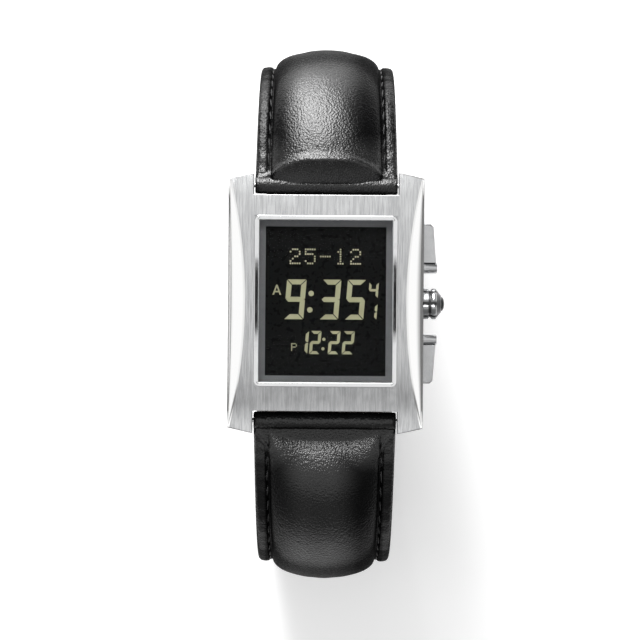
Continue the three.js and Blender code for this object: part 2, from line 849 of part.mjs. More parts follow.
// Case back, gasket and screws
function caseBack() {
  const plate = extrudeBevelled(
    roundedShape(backWidth / 2, backLength / 2, backCornerRadius), backThickness, lipBevel,
  );
  const cuts = [];
  for (const [x, y] of screwPlaces) {
    const seat = screwHeadHeight + runningFit;
    cuts.push(rodZ(screwHeadRadius + runningFit, -overrun, seat, x, y, smallSides));
    cuts.push(rodZ(screwShaftRadius + runningFit, 0, backThickness + overrun, x, y, smallSides));
  }
  return carve(plate, cuts);
}

place(head, 'case_back', caseBack(), steelBrushed);
place(
  glazing, 'case_back_gasket',
  ringPlate(
    gasketHalfX + backGasketWidth, gasketHalfY + backGasketWidth, gasketHalfX, gasketHalfY,
    backThickness, backThickness + backGasketThickness, backCornerRadius,
  ),
  rubberBlack,
);
screwPlaces.forEach(([x, y], index) => {
  const headLow = runningFit;
  const shaftTop = headLow + screwLength - screwHeadHeight;
  const cap = rodZ(screwHeadRadius, headLow, headLow + screwHeadHeight, x, y, smallSides);
  const shaft = rodZ(screwShaftRadius, headLow + screwHeadHeight / 2, shaftTop, x, y, smallSides);
  const slot = block(
    x - screwHeadRadius, x + screwHeadRadius, y - screwSlotWidth / 2, y + screwSlotWidth / 2,
    headLow - overrun, headLow + screwSlotDepth,
  );
  place(head, `case_back_screw_${index + 1}`, carve(cap, [slot], [shaft]), steelPolished);
});

// Pushers: a block head with a bright roll at the crown end, on a round stem
const pusherBack = pocketFloor + pusherTravel + pusherStandoff - sideFit;

function pusherShape() {
  const near = halfWidth + pusherReachNear;
  const far = halfWidth + pusherReachFar;
  const roll = pusherRollWidth / 2;
  const start = -pusherSpan / 2;
  const end = pusherSpan / 2;
  const rollEnd = start + pusherRollWidth;
  const shape = new THREE.Shape();
  shape.moveTo(pusherBack, start);
  shape.lineTo(near - roll, start);
  shape.absarc(near - roll, start + roll, roll, -Math.PI / 2, Math.PI / 2, false);
  shape.lineTo(near - roll - pusherSeam, rollEnd);
  shape.lineTo(near - roll - pusherSeam, rollEnd + pusherSeam);
  shape.lineTo(near - pusherSeam, rollEnd + pusherSeam);
  shape.lineTo(far, end - pusherTipBevel);
  shape.lineTo(far - pusherTipBevel, end);
  shape.lineTo(pusherBack, end);
  shape.closePath();
  return shape;
}

function pusher(side) {
  const blank = extrudeBevelled(pusherShape(), pusherHeight, pusherEdge, pusherRollSteps);
  blank.translate(0, 0, stemLevel - pusherHeight / 2);
  const stem = rodX(pusherStemRadius, stemTip, pusherBack + pusherStandoff, 0, stemLevel, roundSides);
  const whole = carve(blank, [], [stem]);
  if (side < 0) {
    whole.rotateX(Math.PI);
    whole.translate(0, 0, stemLevel * 2);
  }
  return whole.translate(0, side * pusherMiddle, 0);
}

const pusherSides = [['upper', 1], ['lower', -1]];
const sealEnd = springBoreFloor + stackGap + sealThickness;
for (const [word, side] of pusherSides) {
  const y = side * pusherMiddle;
  place(head, `pusher_${word}`, pusher(side), steelBrushed);
  place(
    head, `pusher_${word}_spring`,
    sleeveX(
      springRadius - springWire, springRadius, sealEnd + stackGap, pusherBack - stackGap, y, stemLevel,
    ),
    springSteel,
  );
  place(
    head, `pusher_${word}_seal`,
    sleeveX(
      pusherStemRadius + runningFit, springBoreRadius - stackGap, springBoreFloor + stackGap, sealEnd,
      y, stemLevel,
    ),
    rubberBlack,
  );
  place(
    head, `pusher_${word}_clip`,
    sleeveX(
      pusherStemRadius + runningFit / 2, clipRadius,
      cavityHalfWidth - stackGap - clipThickness, cavityHalfWidth - stackGap, y, stemLevel, smallSides,
    ),
    springSteel,
  );
}

// Crown: a fluted head screwed on a stem, in a tube pressed into the case
const crownBack = crownFloor + crownTravel + crownStandoff;
const collarEnd = halfWidth + crownCollarLength;
const grooveEnd = collarEnd + crownGrooveLength;
const ringEnd = grooveEnd + crownRingLength;
const crownFace = ringEnd + crownConeLength;
const skirtRadius = crownTubeRadius + crownSkirtFit;
const tubeEnd = crownFloor + crownTubeProud;
const skirtFloor = tubeEnd + crownTravel + crownWasherThickness + stackGap * 2 + crownStandoff;

function crownHead() {
  const edge = crownFluteShare;
  const lip = lipBevel;
  const stations = [
    { x: skirtFloor, r: skirtRadius, flute: 0 },
    { x: crownBack, r: skirtRadius, flute: 0 },
    { x: crownBack, r: crownCollarRadius, flute: 0 },
    { x: collarEnd, r: crownCollarRadius, flute: 0 },
    { x: collarEnd, r: crownGrooveRadius, flute: 0 },
    { x: grooveEnd, r: crownGrooveRadius, flute: 0 },
    { x: grooveEnd + lip / 2, r: crownRadius, flute: edge },
    { x: ringEnd - lip, r: crownRadius, flute: edge },
    { x: ringEnd, r: crownRadius - lip, flute: edge },
    { x: (ringEnd + crownFace) / 2, r: (crownRadius + crownFaceRadius) / 2, flute: edge * 2 },
    { x: crownFace, r: crownFaceRadius + stackGap, flute: 0 },
    { x: crownFace - stoneSink, r: stoneRadius + stackGap, flute: 0 },
  ];
  const blank = fluted(stations, crownFluteCount * crownFluteSteps, crownFluteCount, 0, stemLevel);
  return carve(blank, [rodX(crownStemRadius, 0, skirtFloor + stoneSink, 0, stemLevel)]);
}

place(head, 'crown_head', crownHead(), steelPolished);

function stone() {
  const steps = 5;
  const profile = [new THREE.Vector2(0, 0), new THREE.Vector2(stoneRadius, 0)];
  for (let i = 0; i <= steps; i += 1) {
    const angle = (i / steps) * Math.PI / 2;
    const height = stoneSink + stoneRise * Math.sin(angle);
    profile.push(new THREE.Vector2(stoneRadius * Math.cos(angle), height));
  }
  const geometry = new THREE.LatheGeometry(profile, roundSides);
  return geometry.rotateZ(-Math.PI / 2).translate(crownFace - stoneSink + stackGap, 0, stemLevel);
}

place(head, 'crown_stone', stone(), stoneBlack);
place(
  head, 'crown_stem',
  rodX(crownStemRadius - runningFit / 2, stemTip, skirtFloor + stoneSink - stackGap, 0, stemLevel),
  springSteel,
);
place(
  head, 'crown_tube',
  sleeveX(crownTubeBore, crownTubeRadius - stackGap, sealEnd + stackGap, tubeEnd, 0, stemLevel),
  steelPolished,
);
place(
  head, 'crown_seal',
  sleeveX(
    crownStemRadius + runningFit, crownTubeRadius - stackGap, springBoreFloor + stackGap, sealEnd,
    0, stemLevel,
  ),
  rubberBlack,
);
place(
  head, 'crown_washer',
  sleeveX(
    crownStemRadius + runningFit, crownTubeRadius, skirtFloor - stackGap - crownWasherThickness,
    skirtFloor - stackGap, 0, stemLevel,
  ),
  springSteel,
);
place(
  head, 'crown_spring',
  sleeveX(
    crownStemRadius + runningFit, crownTubeRadius - stackGap, tubeEnd + stackGap,
    skirtFloor - stackGap * 2 - crownWasherThickness, 0, stemLevel, smallSides,
  ),
  springSteel,
);
place(
  head, 'crown_clip',
  sleeveX(
    crownStemRadius, clipRadius, cavityHalfWidth - stackGap - clipThickness, cavityHalfWidth - stackGap,
    0, stemLevel, smallSides,
  ),
  springSteel,
);

// Spring bars
for (const [word, side] of [['upper', 1], ['lower', -1]]) {
  const y = side * barAcross;
  const half = barLength / 2;
  place(head, `bar_${word}_barrel`, sleeveX(barBore, barRadius, -half, half, y, barLevel), springSteel);
  place(
    head, `bar_${word}_pin_left`,
    rodX(pinRadius, -pinOuter, -pinInner, y, barLevel, smallSides), steelPolished,
  );
  place(
    head, `bar_${word}_pin_right`,
    rodX(pinRadius, pinInner, pinOuter, y, barLevel, smallSides), steelPolished,
  );
}

// Strap path: the inner face of each half, as straight runs and bends in the plane x = 0
class StrapPath {
  constructor(side, y, z, dip) {
    this.side = side;
    this.runs = [];
    this.length = 0;
    this.pen = { y, z, dip };
  }

  straight(length) {
    return this.bend(Infinity, length);
  }

  arc(radius, angle) {
    return this.bend(radius / Math.sign(angle), radius * Math.abs(angle));
  }

  bend(radius, length) {
    const run = { start: this.length, length, radius, ...this.pen };
    this.runs.push(run);
    this.length += length;
    this.pen = StrapPath.along(run, length);
    return this;
  }

  static along(run, distance) {
    const { y, z, dip, radius } = run;
    if (!Number.isFinite(radius)) {
      return { y: y + distance * Math.cos(dip), z: z - distance * Math.sin(dip), dip };
    }
    const turned = dip + distance / radius;
    return {
      y: y + radius * (Math.sin(turned) - Math.sin(dip)),
      z: z + radius * (Math.cos(turned) - Math.cos(dip)),
      dip: turned,
    };
  }

  at(distance) {
    let run = this.runs[0];
    for (const next of this.runs) {
      if (next.start <= distance) {
        run = next;
      }
    }
    return StrapPath.along(run, distance - run.start);
  }

  // x across, lift out of the inner face
  point(distance, x, lift) {
    const { y, z, dip } = this.at(distance);
    const out = { y: y + lift * Math.sin(dip), z: z + lift * Math.cos(dip) };
    const point = { x, y: this.side * out.y, z: out.z };
    point.flat2 = new THREE.Vector2(x, lift);
    return point;
  }
}

const quarter = Math.PI / 2;
const bendPlaceUpper = innerReachUpper - bendRadius;
const bendPlaceLower = innerReachLower - bendRadius;
const upperPath = new StrapPath(1, pathStartY, pathStartZ, strapDip)
  .straight(leadUpper)
  .arc(bendRadius, quarter - strapDip)
  .arc(bendRadius, quarter)
  .straight(bendPlaceUpper - buckleBarPlace);

const stepHeight = overBuckleInner - tailInner;
const stepRadius = stepHeight / (2 * (1 - Math.cos(stepDown)));
const stepRun = 2 * stepRadius * Math.sin(stepDown);
const frameBarPlace = buckleBarPlace - buckleReach;
const stepStart = frameBarPlace + buckleStock;
const tailBend = bendRadius + endInner - tailInner;
const lowerPath = new StrapPath(-1, pathStartY, pathStartZ, strapDip)
  .straight(leadLower)
  .arc(bendRadius, quarter - strapDip)
  .straight(sideDropLower)
  .arc(bendRadius, quarter)
  .straight(bendPlaceLower + stepStart)
  .arc(stepRadius, -stepDown)
  .arc(stepRadius, stepDown)
  .straight(bendPlaceUpper - stepStart - stepRun);
lowerPath.arc(tailBend, (strapLengthLower - lowerPath.length) / tailBend);

// Strap cross-section
const domeSteps = 10;

function halfStrap(distance, path) {
  const share = Math.min(distance / strapTaperLength, 1);
  const wide = strapWidthAtLug + (strapWidthAtBuckle - strapWidthAtLug) * share;
  if (path === upperPath) {
    return wide / 2;
  }
  const left = Math.max(strapLengthLower - distance, 0) / tipLength;
  const round = left < 1 ? Math.sqrt(1 - (1 - left) ** 2) : 1;
  return Math.max(wide / 2 * round, tongueWidth);
}

function smooth(value) {
  const share = Math.min(Math.max(value, 0), 1);
  return share * share * (3 - 2 * share);
}

// How far the middle of a ring runs ahead of its ends, so that the pad's front is one smooth arch
const padFrontEnd = padFrontSide + padFrontLength;
const archEnd = padFrontEnd + archFadeLength;

function archAhead(distance, across) {
  const arch = (padFrontMiddle - padFrontSide) * (1 - across * across);
  const grown = Math.min(distance / padFrontSide, 1);
  const kept = Math.max((archEnd - distance) / archFadeLength, 0);
  return arch * Math.min(grown, kept);
}

function padLift(distance, across, path) {
  const full = path === upperPath ? padFullUpper : padFullLower;
  const rise = smooth((distance - padFrontSide) / padFrontLength);
  const fade = 1 - smooth((distance - full) / padFadeLength);
  const crown = (1 - Math.abs(across) ** padSquareness) ** (1 / padSquareness);
  return padHeight * rise * fade * crown;
}

function domeRow(distance, halfWide, lift) {
  const row = [];
  for (let i = 0; i <= domeSteps; i += 1) {
    const across = Math.cos(Math.PI * i / domeSteps);
    row.push([halfWide * across, lift(across), archAhead(distance, across)]);
  }
  return row;
}

function outerSection(distance, path) {
  const half = halfStrap(distance, path);
  const pad = Math.min(padWidth / 2, half - 2 * flangeEdge);
  const inner = pad - padWall;
  const top = strapThickness;
  const outer = domeRow(distance, pad, (a) => top + padLift(distance, a, path));
  const under = domeRow(distance, inner, (a) => liningThickness + padLift(distance, a, path));
  const section = [[half, liningThickness], [half, top - flangeEdge], [half - flangeEdge, top]];
  section.push(...outer);
  section.push([-half + flangeEdge, top], [-half, top - flangeEdge], [-half, liningThickness]);
  section.push(...under.reverse());
  return section;
}

function liningSection(distance, path) {
  const half = halfStrap(distance, path);
  const low = flangeEdge;
  return [
    [half, liningThickness], [-half, liningThickness], [-half, low], [-half + flangeEdge, 0],
    [half - flangeEdge, 0], [half, low],
  ];
}

function paddingSection(distance, path) {
  const half = padWidth / 2 - padWall - padFit;
  const low = liningThickness + padFit / 2;
  const row = domeRow(distance, half, (a) => {
    const room = padLift(distance, a, path) - padFit;
    return liningThickness + Math.max(room, padFit);
  });
  return [[half, low], ...row.slice(1, -1), [-half, low]];
}

function sweep(path, section, distances) {
  const rings = distances.map((distance) => {
    const outline = section(distance, path);
    return outline.map(([x, lift, ahead = 0]) => path.point(distance + ahead, x, lift));
  });
  return ringStack(rings);
}

function spaced(start, end, count) {
  return Array.from({ length: count + 1 }, (_, i) => start + (end - start) * i / count);
}

const bendStep = bendRadius * bendStepShare;

function distancesOf(path, start, end, fadeEnd) {
  const front = start < padFrontSide ? spaced(padFrontSide, padFrontEnd, padFrontSteps) : [];
  const middle = spaced(archEnd, fadeEnd, padSteps);
  const rest = [];
  for (const run of path.runs) {
    const runEnd = Math.min(run.start + run.length, end);
    const from = Math.max(run.start, fadeEnd);
    if (runEnd > from) {
      const count = Number.isFinite(run.radius) ? Math.ceil((runEnd - from) / bendStep) : 1;
      rest.push(...spaced(from, runEnd, count).slice(1));
    }
  }
  return [start, ...front, ...middle, ...rest];
}

const strap = new THREE.Group();
watch.add(strap);

const fadeUpper = padFullUpper + padFadeLength;
const fadeLower = padFullLower + padFadeLength;
const barHeight = headLevel + barLevel;
const rollHalf = strapWidthAtLug / 2;
const liningStart = rollRadius + flangeEdge * 2;
const buckleEyeLevel = endOuter + buckleEyeRadius;
const eyeHalf = strapWidthAtBuckle / 2;
const upperEnd = upperPath.length;
const upperLeatherEnd = upperEnd - buckleEyeRadius / 2;
const upperLiningEnd = upperEnd - buckleEyeRadius - flangeEdge;

function rollOn(side) {
  const y = side * barAcross;
  return {
    add: rodX(rollRadius, -rollHalf, rollHalf, y, barHeight),
    cut: rodX(barRadius + layerGap / 2, -rollHalf - overrun, rollHalf + overrun, y, barHeight),
  };
}

function upperLeather() {
  const body = sweep(upperPath, outerSection, distancesOf(upperPath, 0, upperLeatherEnd, fadeUpper));
  const roll = rollOn(1);
  const eye = rodX(buckleEyeRadius, -eyeHalf, eyeHalf, buckleBarPlace, buckleEyeLevel);
  const bore = rodX(buckleEyeBore, -eyeHalf - overrun, eyeHalf + overrun, buckleBarPlace, buckleEyeLevel);
  const slotHalf = tongueSlotWidth / 2;
  const slot = block(
    -slotHalf, slotHalf, buckleBarPlace - buckleEyeRadius - overrun,
    buckleBarPlace + buckleEyeRadius + layerGap, 0, keeperTop,
  );
  return carve(body, [roll.cut, bore, slot], [roll.add, eye]);
}

function upperLining() {
  const distances = distancesOf(upperPath, liningStart, upperLiningEnd, fadeUpper);
  return sweep(upperPath, liningSection, distances);
}

// Holes: the used one is drawn long by the tongue, the rest are round
const tonguePlace = buckleBarPlace - buckleReach / 2 + tongueThickness / 2;
const usedHolePlace = tonguePlace + tonguePlay / 2;

function strapHoles() {
  const cuts = [];
  const used = usedHoleLength / 2;
  cuts.push(block(
    -tongueSlotWidth / 2, tongueSlotWidth / 2, usedHolePlace - used, usedHolePlace + used,
    -overrun, keeperTop,
  ));
  for (let i = 1; i < holeCount; i += 1) {
    const y = tonguePlace + i * holePitch;
    cuts.push(rodZ(holeRadius, -overrun, keeperTop, 0, y, smallSides));
  }
  return cuts;
}

function lowerLeather() {
  const end = strapLengthLower;
  const body = sweep(lowerPath, outerSection, tipDistances(0, end));
  const roll = rollOn(-1);
  return carve(body, [roll.cut, ...strapHoles()], [roll.add]);
}

function tipDistances(start, end) {
  const plain = distancesOf(lowerPath, start, end - tipLength, fadeLower);
  const steps = 5;
  for (let i = 1; i <= steps; i += 1) {
    plain.push(end - tipLength * (1 - Math.sin(quarter * i / steps)));
  }
  return plain;
}

function lowerLining() {
  return carve(sweep(lowerPath, liningSection, tipDistances(liningStart, strapLengthLower)), strapHoles());
}

function paddingFor(path, fadeEnd) {
  const end = fadeEnd - padFadeLength * (1 - paddingFadeShare);
  const rings = distancesOf(path, 0, fadeEnd, fadeEnd);
  return sweep(path, paddingSection, rings.filter((distance) => distance >= archEnd && distance <= end));
}

place(strap, 'strap_upper_leather', upperLeather(), leatherBlack);
place(strap, 'strap_upper_padding', paddingFor(upperPath, fadeUpper), foam);
place(strap, 'strap_upper_lining', upperLining(), leatherLining);
place(strap, 'strap_lower_leather', lowerLeather(), leatherBlack);
place(strap, 'strap_lower_padding', paddingFor(lowerPath, fadeLower), foam);
place(strap, 'strap_lower_lining', lowerLining(), leatherLining);

// Buckle
const armInner = strapWidthAtBuckle / 2 + buckleSideGap;
const armOuter = armInner + buckleSideStock;
const barTip = frameBarPlace - buckleStock / 2;

function armShape() {
  const shape = new THREE.Shape();
  shape.moveTo(barTip, 0);
  shape.lineTo(frameBarPlace + buckleStock, 0);
  shape.lineTo(buckleBarPlace, buckleEyeLevel - buckleBossRadius);
  shape.absarc(buckleBarPlace, buckleEyeLevel, buckleBossRadius, -quarter, quarter, false);
  shape.lineTo(frameBarPlace + buckleStock, buckleStock + layerGap);
  shape.lineTo(barTip, buckleStock);
  shape.closePath();
  return shape;
}

function buckleFrame() {
  const joins = [];
  for (const side of [-1, 1]) {
    const arm = towardsX(extrudeBevelled(armShape(), buckleSideStock, pusherEdge, bossSteps));
    joins.push(arm.translate(side < 0 ? -armOuter : armInner, 0, 0));
  }
  const barShape = roundedShape(buckleStock / 2, buckleStock / 2, buckleStock / 3);
  const bar = towardsX(extrude(barShape, 2 * armOuter - 2 * pusherEdge));
  bar.translate(-armOuter + pusherEdge, frameBarPlace, buckleStock / 2);
  const bore = rodX(
    buckleBarRadius + runningFit, -armOuter - overrun, armOuter + overrun, buckleBarPlace, buckleEyeLevel,
  );
  const notchHalf = tongueSlotWidth / 2;
  const notch = block(
    -notchHalf, notchHalf, barTip - overrun, frameBarPlace + buckleStock, -overrun, tongueNotch,
  );
  return carve(bar, [bore, notch], joins);
}

place(strap, 'buckle_frame', buckleFrame(), steelPolished);
place(
  strap, 'buckle_bar',
  rodX(buckleBarRadius, -armOuter + pusherEdge, armOuter - pusherEdge, buckleBarPlace, buckleEyeLevel),
  springSteel,
);

function tongue() {
  const low = (tongueNotch - tongueThickness) / 2;
  const high = buckleEyeLevel;
  const half = tongueThickness / 2;
  const dive = tonguePlace + high / 2;
  const rise = tonguePlace - high / 2;
  const shape = new THREE.Shape();
  shape.moveTo(barTip, low);
  shape.lineTo(rise + half, low);
  shape.lineTo(dive + half, high - half);
  shape.lineTo(buckleBarPlace, high - half);
  shape.lineTo(buckleBarPlace, high + half);
  shape.lineTo(dive - half, high + half);
  shape.lineTo(rise - half, low + tongueThickness);
  shape.lineTo(barTip, low + tongueThickness);
  shape.closePath();
  const blank = towardsX(extrude(shape, tongueWidth)).translate(-tongueWidth / 2, 0, 0);
  const eye = rodX(
    buckleEyeRadius - runningFit, -tongueWidth / 2, tongueWidth / 2, buckleBarPlace, buckleEyeLevel,
  );
  const bore = rodX(
    buckleBarRadius + runningFit, -tongueWidth, tongueWidth, buckleBarPlace, buckleEyeLevel,
  );
  return carve(blank, [bore], [eye]);
}

place(strap, 'buckle_tongue', tongue(), steelPolished);

// Keepers: closed leather loops round both layers
function keeper(place0) {
  const halfHole = strapWidthAtBuckle / 2 + keeperSide;
  const half = halfHole + keeperWall;
  const outline = roundedShape(half, keeperTop / 2, keeperWall);
  const holeHigh = keeperTop / 2 - keeperWall;
  outline.holes.push(roundedShape(halfHole, holeHigh, keeperWall / 2, new THREE.Path()));
  const loop = extrudeBevelled(outline, keeperWidth, pusherEdge, keeperCornerSteps).rotateX(quarter);
  return loop.translate(0, place0 + keeperWidth / 2, keeperTop / 2);
}

place(strap, 'keeper_fixed', keeper(0), leatherBlack);
place(strap, 'keeper_sliding', keeper(slidingKeeperPlace), leatherBlack);

export default watch;
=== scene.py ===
"""Dresses the digital wristwatch: steel case, display, side controls, padded leather strap and buckle.

Sizes in the classes are millimetres, in the frame of the construction model: +Z out of the dial,
+Y towards 12 o'clock, +X towards the crown. Meshes are scaled to metres as they are made.
"""

from __future__ import annotations

import bisect
import json
import logging
import random
from dataclasses import dataclass, field
from enum import Enum
from math import atan2, copysign, cos, exp, hypot, inf, isinf, pi, radians, sin, sqrt
from typing import Callable, Iterable, Sequence

import bmesh
import bpy
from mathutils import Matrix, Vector, noise

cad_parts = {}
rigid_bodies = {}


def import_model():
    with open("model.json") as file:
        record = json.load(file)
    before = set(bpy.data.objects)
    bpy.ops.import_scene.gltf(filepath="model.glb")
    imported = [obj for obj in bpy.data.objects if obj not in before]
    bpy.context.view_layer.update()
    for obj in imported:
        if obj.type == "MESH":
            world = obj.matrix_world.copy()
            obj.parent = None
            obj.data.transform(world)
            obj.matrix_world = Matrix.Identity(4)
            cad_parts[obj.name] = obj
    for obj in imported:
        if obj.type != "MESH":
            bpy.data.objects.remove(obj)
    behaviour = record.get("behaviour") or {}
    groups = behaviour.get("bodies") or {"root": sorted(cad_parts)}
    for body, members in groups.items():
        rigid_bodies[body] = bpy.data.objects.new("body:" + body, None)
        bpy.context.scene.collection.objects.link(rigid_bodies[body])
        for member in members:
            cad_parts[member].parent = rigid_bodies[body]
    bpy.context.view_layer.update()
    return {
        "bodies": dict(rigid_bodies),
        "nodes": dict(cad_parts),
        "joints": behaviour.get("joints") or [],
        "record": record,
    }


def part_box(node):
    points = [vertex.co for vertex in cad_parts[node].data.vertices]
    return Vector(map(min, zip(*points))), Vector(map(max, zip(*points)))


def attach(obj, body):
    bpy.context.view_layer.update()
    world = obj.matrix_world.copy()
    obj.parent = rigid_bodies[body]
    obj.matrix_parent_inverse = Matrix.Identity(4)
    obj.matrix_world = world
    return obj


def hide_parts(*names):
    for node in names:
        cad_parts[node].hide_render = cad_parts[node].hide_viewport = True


log = logging.getLogger("wristwatch")

MILLIMETRE = 0.001
Point = tuple[float, float, float]
Flat = tuple[float, float]
Face = tuple[int, ...]
Shape = tuple[list[Point], list[Face]]
Place = Callable[[float, float, float], Point]
Socket = bpy.types.NodeSocket
Piece = bpy.types.Object
Material = bpy.types.Material


class Body(Enum):
    """The moving bodies of the construction model that dressed pieces ride on."""

    WATCH = "watch"
    PUSHER_UPPER = "pusher_upper"
    PUSHER_LOWER = "pusher_lower"
    CROWN = "crown"
    SLIDING_KEEPER = "sliding_keeper"


class Axis(Enum):
    """The axis that a turned piece is made round."""

    X = "x"
    Z = "z"


# Meshes


def smooth(value: float) -> float:
    """Eases a share, clamped to 0 and 1, with level ends."""
    share = min(max(value, 0.0), 1.0)
    return share * share * (3 - 2 * share)


def spaced(start: float, end: float, count: int) -> list[float]:
    """Divides a length evenly into count steps, and gives both ends and what lies between."""
    return [start + (end - start) * i / count for i in range(count + 1)]


def rounded_outline(half_x: float, half_y: float, radius: float, steps: int) -> list[Flat]:
    """Walks anticlockwise round a rectangle with round corners.

    Args:
        half_x: Half its width.
        half_y: Half its length.
        radius: The corner radius.
        steps: Steps in each corner.

    Returns:
        The outline's points.
    """
    corners = [(1, -1, -0.5), (1, 1, 0.0), (-1, 1, 0.5), (-1, -1, 1.0)]
    outline = []
    for side_x, side_y, turn in corners:
        for share in spaced(turn, turn + 0.5, steps):
            angle = pi * share
            x = side_x * (half_x - radius) + radius * cos(angle)
            y = side_y * (half_y - radius) + radius * sin(angle)
            outline.append((x, y))
    return outline


def quarter_round(radius: float, half: float) -> list[Flat]:
    """Rounds over an edge in four steps, each as how far it draws in and how far out it lies."""
    return [(radius * (1 - sin(angle)), half - radius * (1 - cos(angle)))
            for angle in spaced(0.0, pi / 2, 4)]


def stacked(rings: Sequence[Sequence[Point]], closed: bool = False) -> Shape:
    """Skins a stack of closed rings with the same number of points.

    Args:
        rings: The rings in order.
        closed: True where the last ring joins the first, and False for flat caps at both ends.

    Returns:
        Points and faces.
    """
    count = len(rings[0])
    points = [point for ring in rings for point in ring]
    faces: list[Face] = []
    joins = len(rings) if closed else len(rings) - 1
    for ring in range(joins):
        low, high = ring * count, (ring + 1) % len(rings) * count
        for i in range(count):
            after = (i + 1) % count
            faces.append((low + i, low + after, high + after, high + i))
    if not closed:
        last = (len(rings) - 1) * count
        faces.append(tuple(reversed(range(count))))
        faces.append(tuple(last + i for i in range(count)))
    return points, faces


def turned(profile: Sequence[Flat], axis: Axis, centre: Point, sides: int, closed: bool = False) -> Shape:
    """Turns a profile of stations along an axis.

    Args:
        profile: Stations as place along the axis and radius.
        axis: The axis that it is turned round.
        centre: The point that the axis passes through.
        sides: Points round the axis.
        closed: True for a sleeve whose profile is a closed loop.

    Returns:
        Points and faces.
    """
    rings = []
    for along, radius in profile:
        ring = []
        for i in range(sides):
            angle = 2 * pi * i / sides
            a, b = radius * cos(angle), radius * sin(angle)
            if axis is Axis.X:
                ring.append((centre[0] + along, centre[1] + a, centre[2] + b))
            else:
                ring.append((centre[0] + a, centre[1] + b, centre[2] + along))
        rings.append(ring)
    return stacked(rings, closed)


def prism(outline: Sequence[Flat], low: float, high: float, place: Place) -> Shape:
    """Draws a flat outline out from low to high; place turns flat x, flat y and height into a point."""
    return stacked([[place(x, y, height) for x, y in outline] for height in (low, high)])


def merged(shapes: Iterable[Shape]) -> Shape:
    """Puts several shapes into one list of points and faces.

    Args:
        shapes: The shapes.

    Returns:
        Points and faces.
    """
    points: list[Point] = []
    faces: list[Face] = []
    for more_points, more_faces in shapes:
        start = len(points)
        points.extend(more_points)
        faces.extend(tuple(start + i for i in face) for face in more_faces)
    return points, faces


def mesh_object(name: str, shape: Shape, sharp_angle: float = 35.0) -> Piece:
    """Makes an object from a shape, with outward faces and sharp edges where it turns sharply.

    Args:
        name: The object's name.
        shape: Points in millimetres, and faces.
        sharp_angle: Edges that turn more than these degrees stay sharp.

    Returns:
        The object, linked to the scene.
    """
    points, faces = shape
    mesh = bpy.data.meshes.new(name)
    mesh.from_pydata([Vector(p) * MILLIMETRE for p in points], [], faces)
    work = bmesh.new()
    work.from_mesh(mesh)
    bmesh.ops.recalc_face_normals(work, faces=work.faces)
    work.to_mesh(mesh)
    work.free()
    mesh.shade_smooth()
    mesh.set_sharp_from_angle(angle=radians(sharp_angle))
    made = bpy.data.objects.new(name, mesh)
    bpy.context.scene.collection.objects.link(made)
    return made


def keep_modified(piece: Piece) -> None:
    """Applies the piece's modifiers to its mesh.

    Args:
        piece: The object.
    """
    graph = bpy.context.evaluated_depsgraph_get()
    mesh = bpy.data.meshes.new_from_object(piece.evaluated_get(graph))
    piece.modifiers.clear()
    piece.data = mesh


def cut_away(piece: Piece, cutters: Sequence[Shape]) -> None:
    """Cuts closed shapes out of a piece.

    Args:
        piece: The piece to cut.
        cutters: The closed shapes, none of which overlaps another.
    """
    cutter = mesh_object("cutter", merged(cutters))
    modifier = piece.modifiers.new("cuts", "BOOLEAN")
    modifier.operation = "DIFFERENCE"
    modifier.solver = "EXACT"
    modifier.object = cutter
    keep_modified(piece)
    bpy.data.objects.remove(cutter)


def joined(pieces: Sequence[Piece]) -> Piece:
    """Joins pieces into the first of them.

    Args:
        pieces: The pieces, which have no modifiers.

    Returns:
        The first piece.
    """
    first, *others = pieces
    work = bmesh.new()
    for piece in pieces:
        work.from_mesh(piece.data)
    work.to_mesh(first.data)
    work.free()
    for piece in others:
        bpy.data.objects.remove(piece)
    return first


def soften_edges(piece: Piece, width: float, segments: int = 2, angle: float = 35.0) -> None:
    """Rounds the sharp edges of a piece.

    Args:
        piece: The piece.
        width: How far the rounding reaches from an edge, in millimetres.
        segments: Steps in the rounding.
        angle: Edges that turn more than these degrees are rounded.
    """
    bevel = piece.modifiers.new("soft_edges", "BEVEL")
    bevel.width = width * MILLIMETRE
    bevel.segments = segments
    bevel.limit_method = "ANGLE"
    bevel.angle_limit = radians(angle)
    bevel.harden_normals = True


def keep_flats(piece: Piece) -> None:
    """Keeps the shading of large flat faces flat beside small round ones."""
    weigh = piece.modifiers.new("flat_faces", "WEIGHTED_NORMAL")
    weigh.keep_sharp = True


def box_shape(low: Point, high: Point) -> Shape:
    """A closed box between its lowest and highest corners."""
    outline = [(low[0], low[1]), (high[0], low[1]), (high[0], high[1]), (low[0], high[1])]
    return prism(outline, low[2], high[2], lambda x, y, z: (x, y, z))


# Finishes


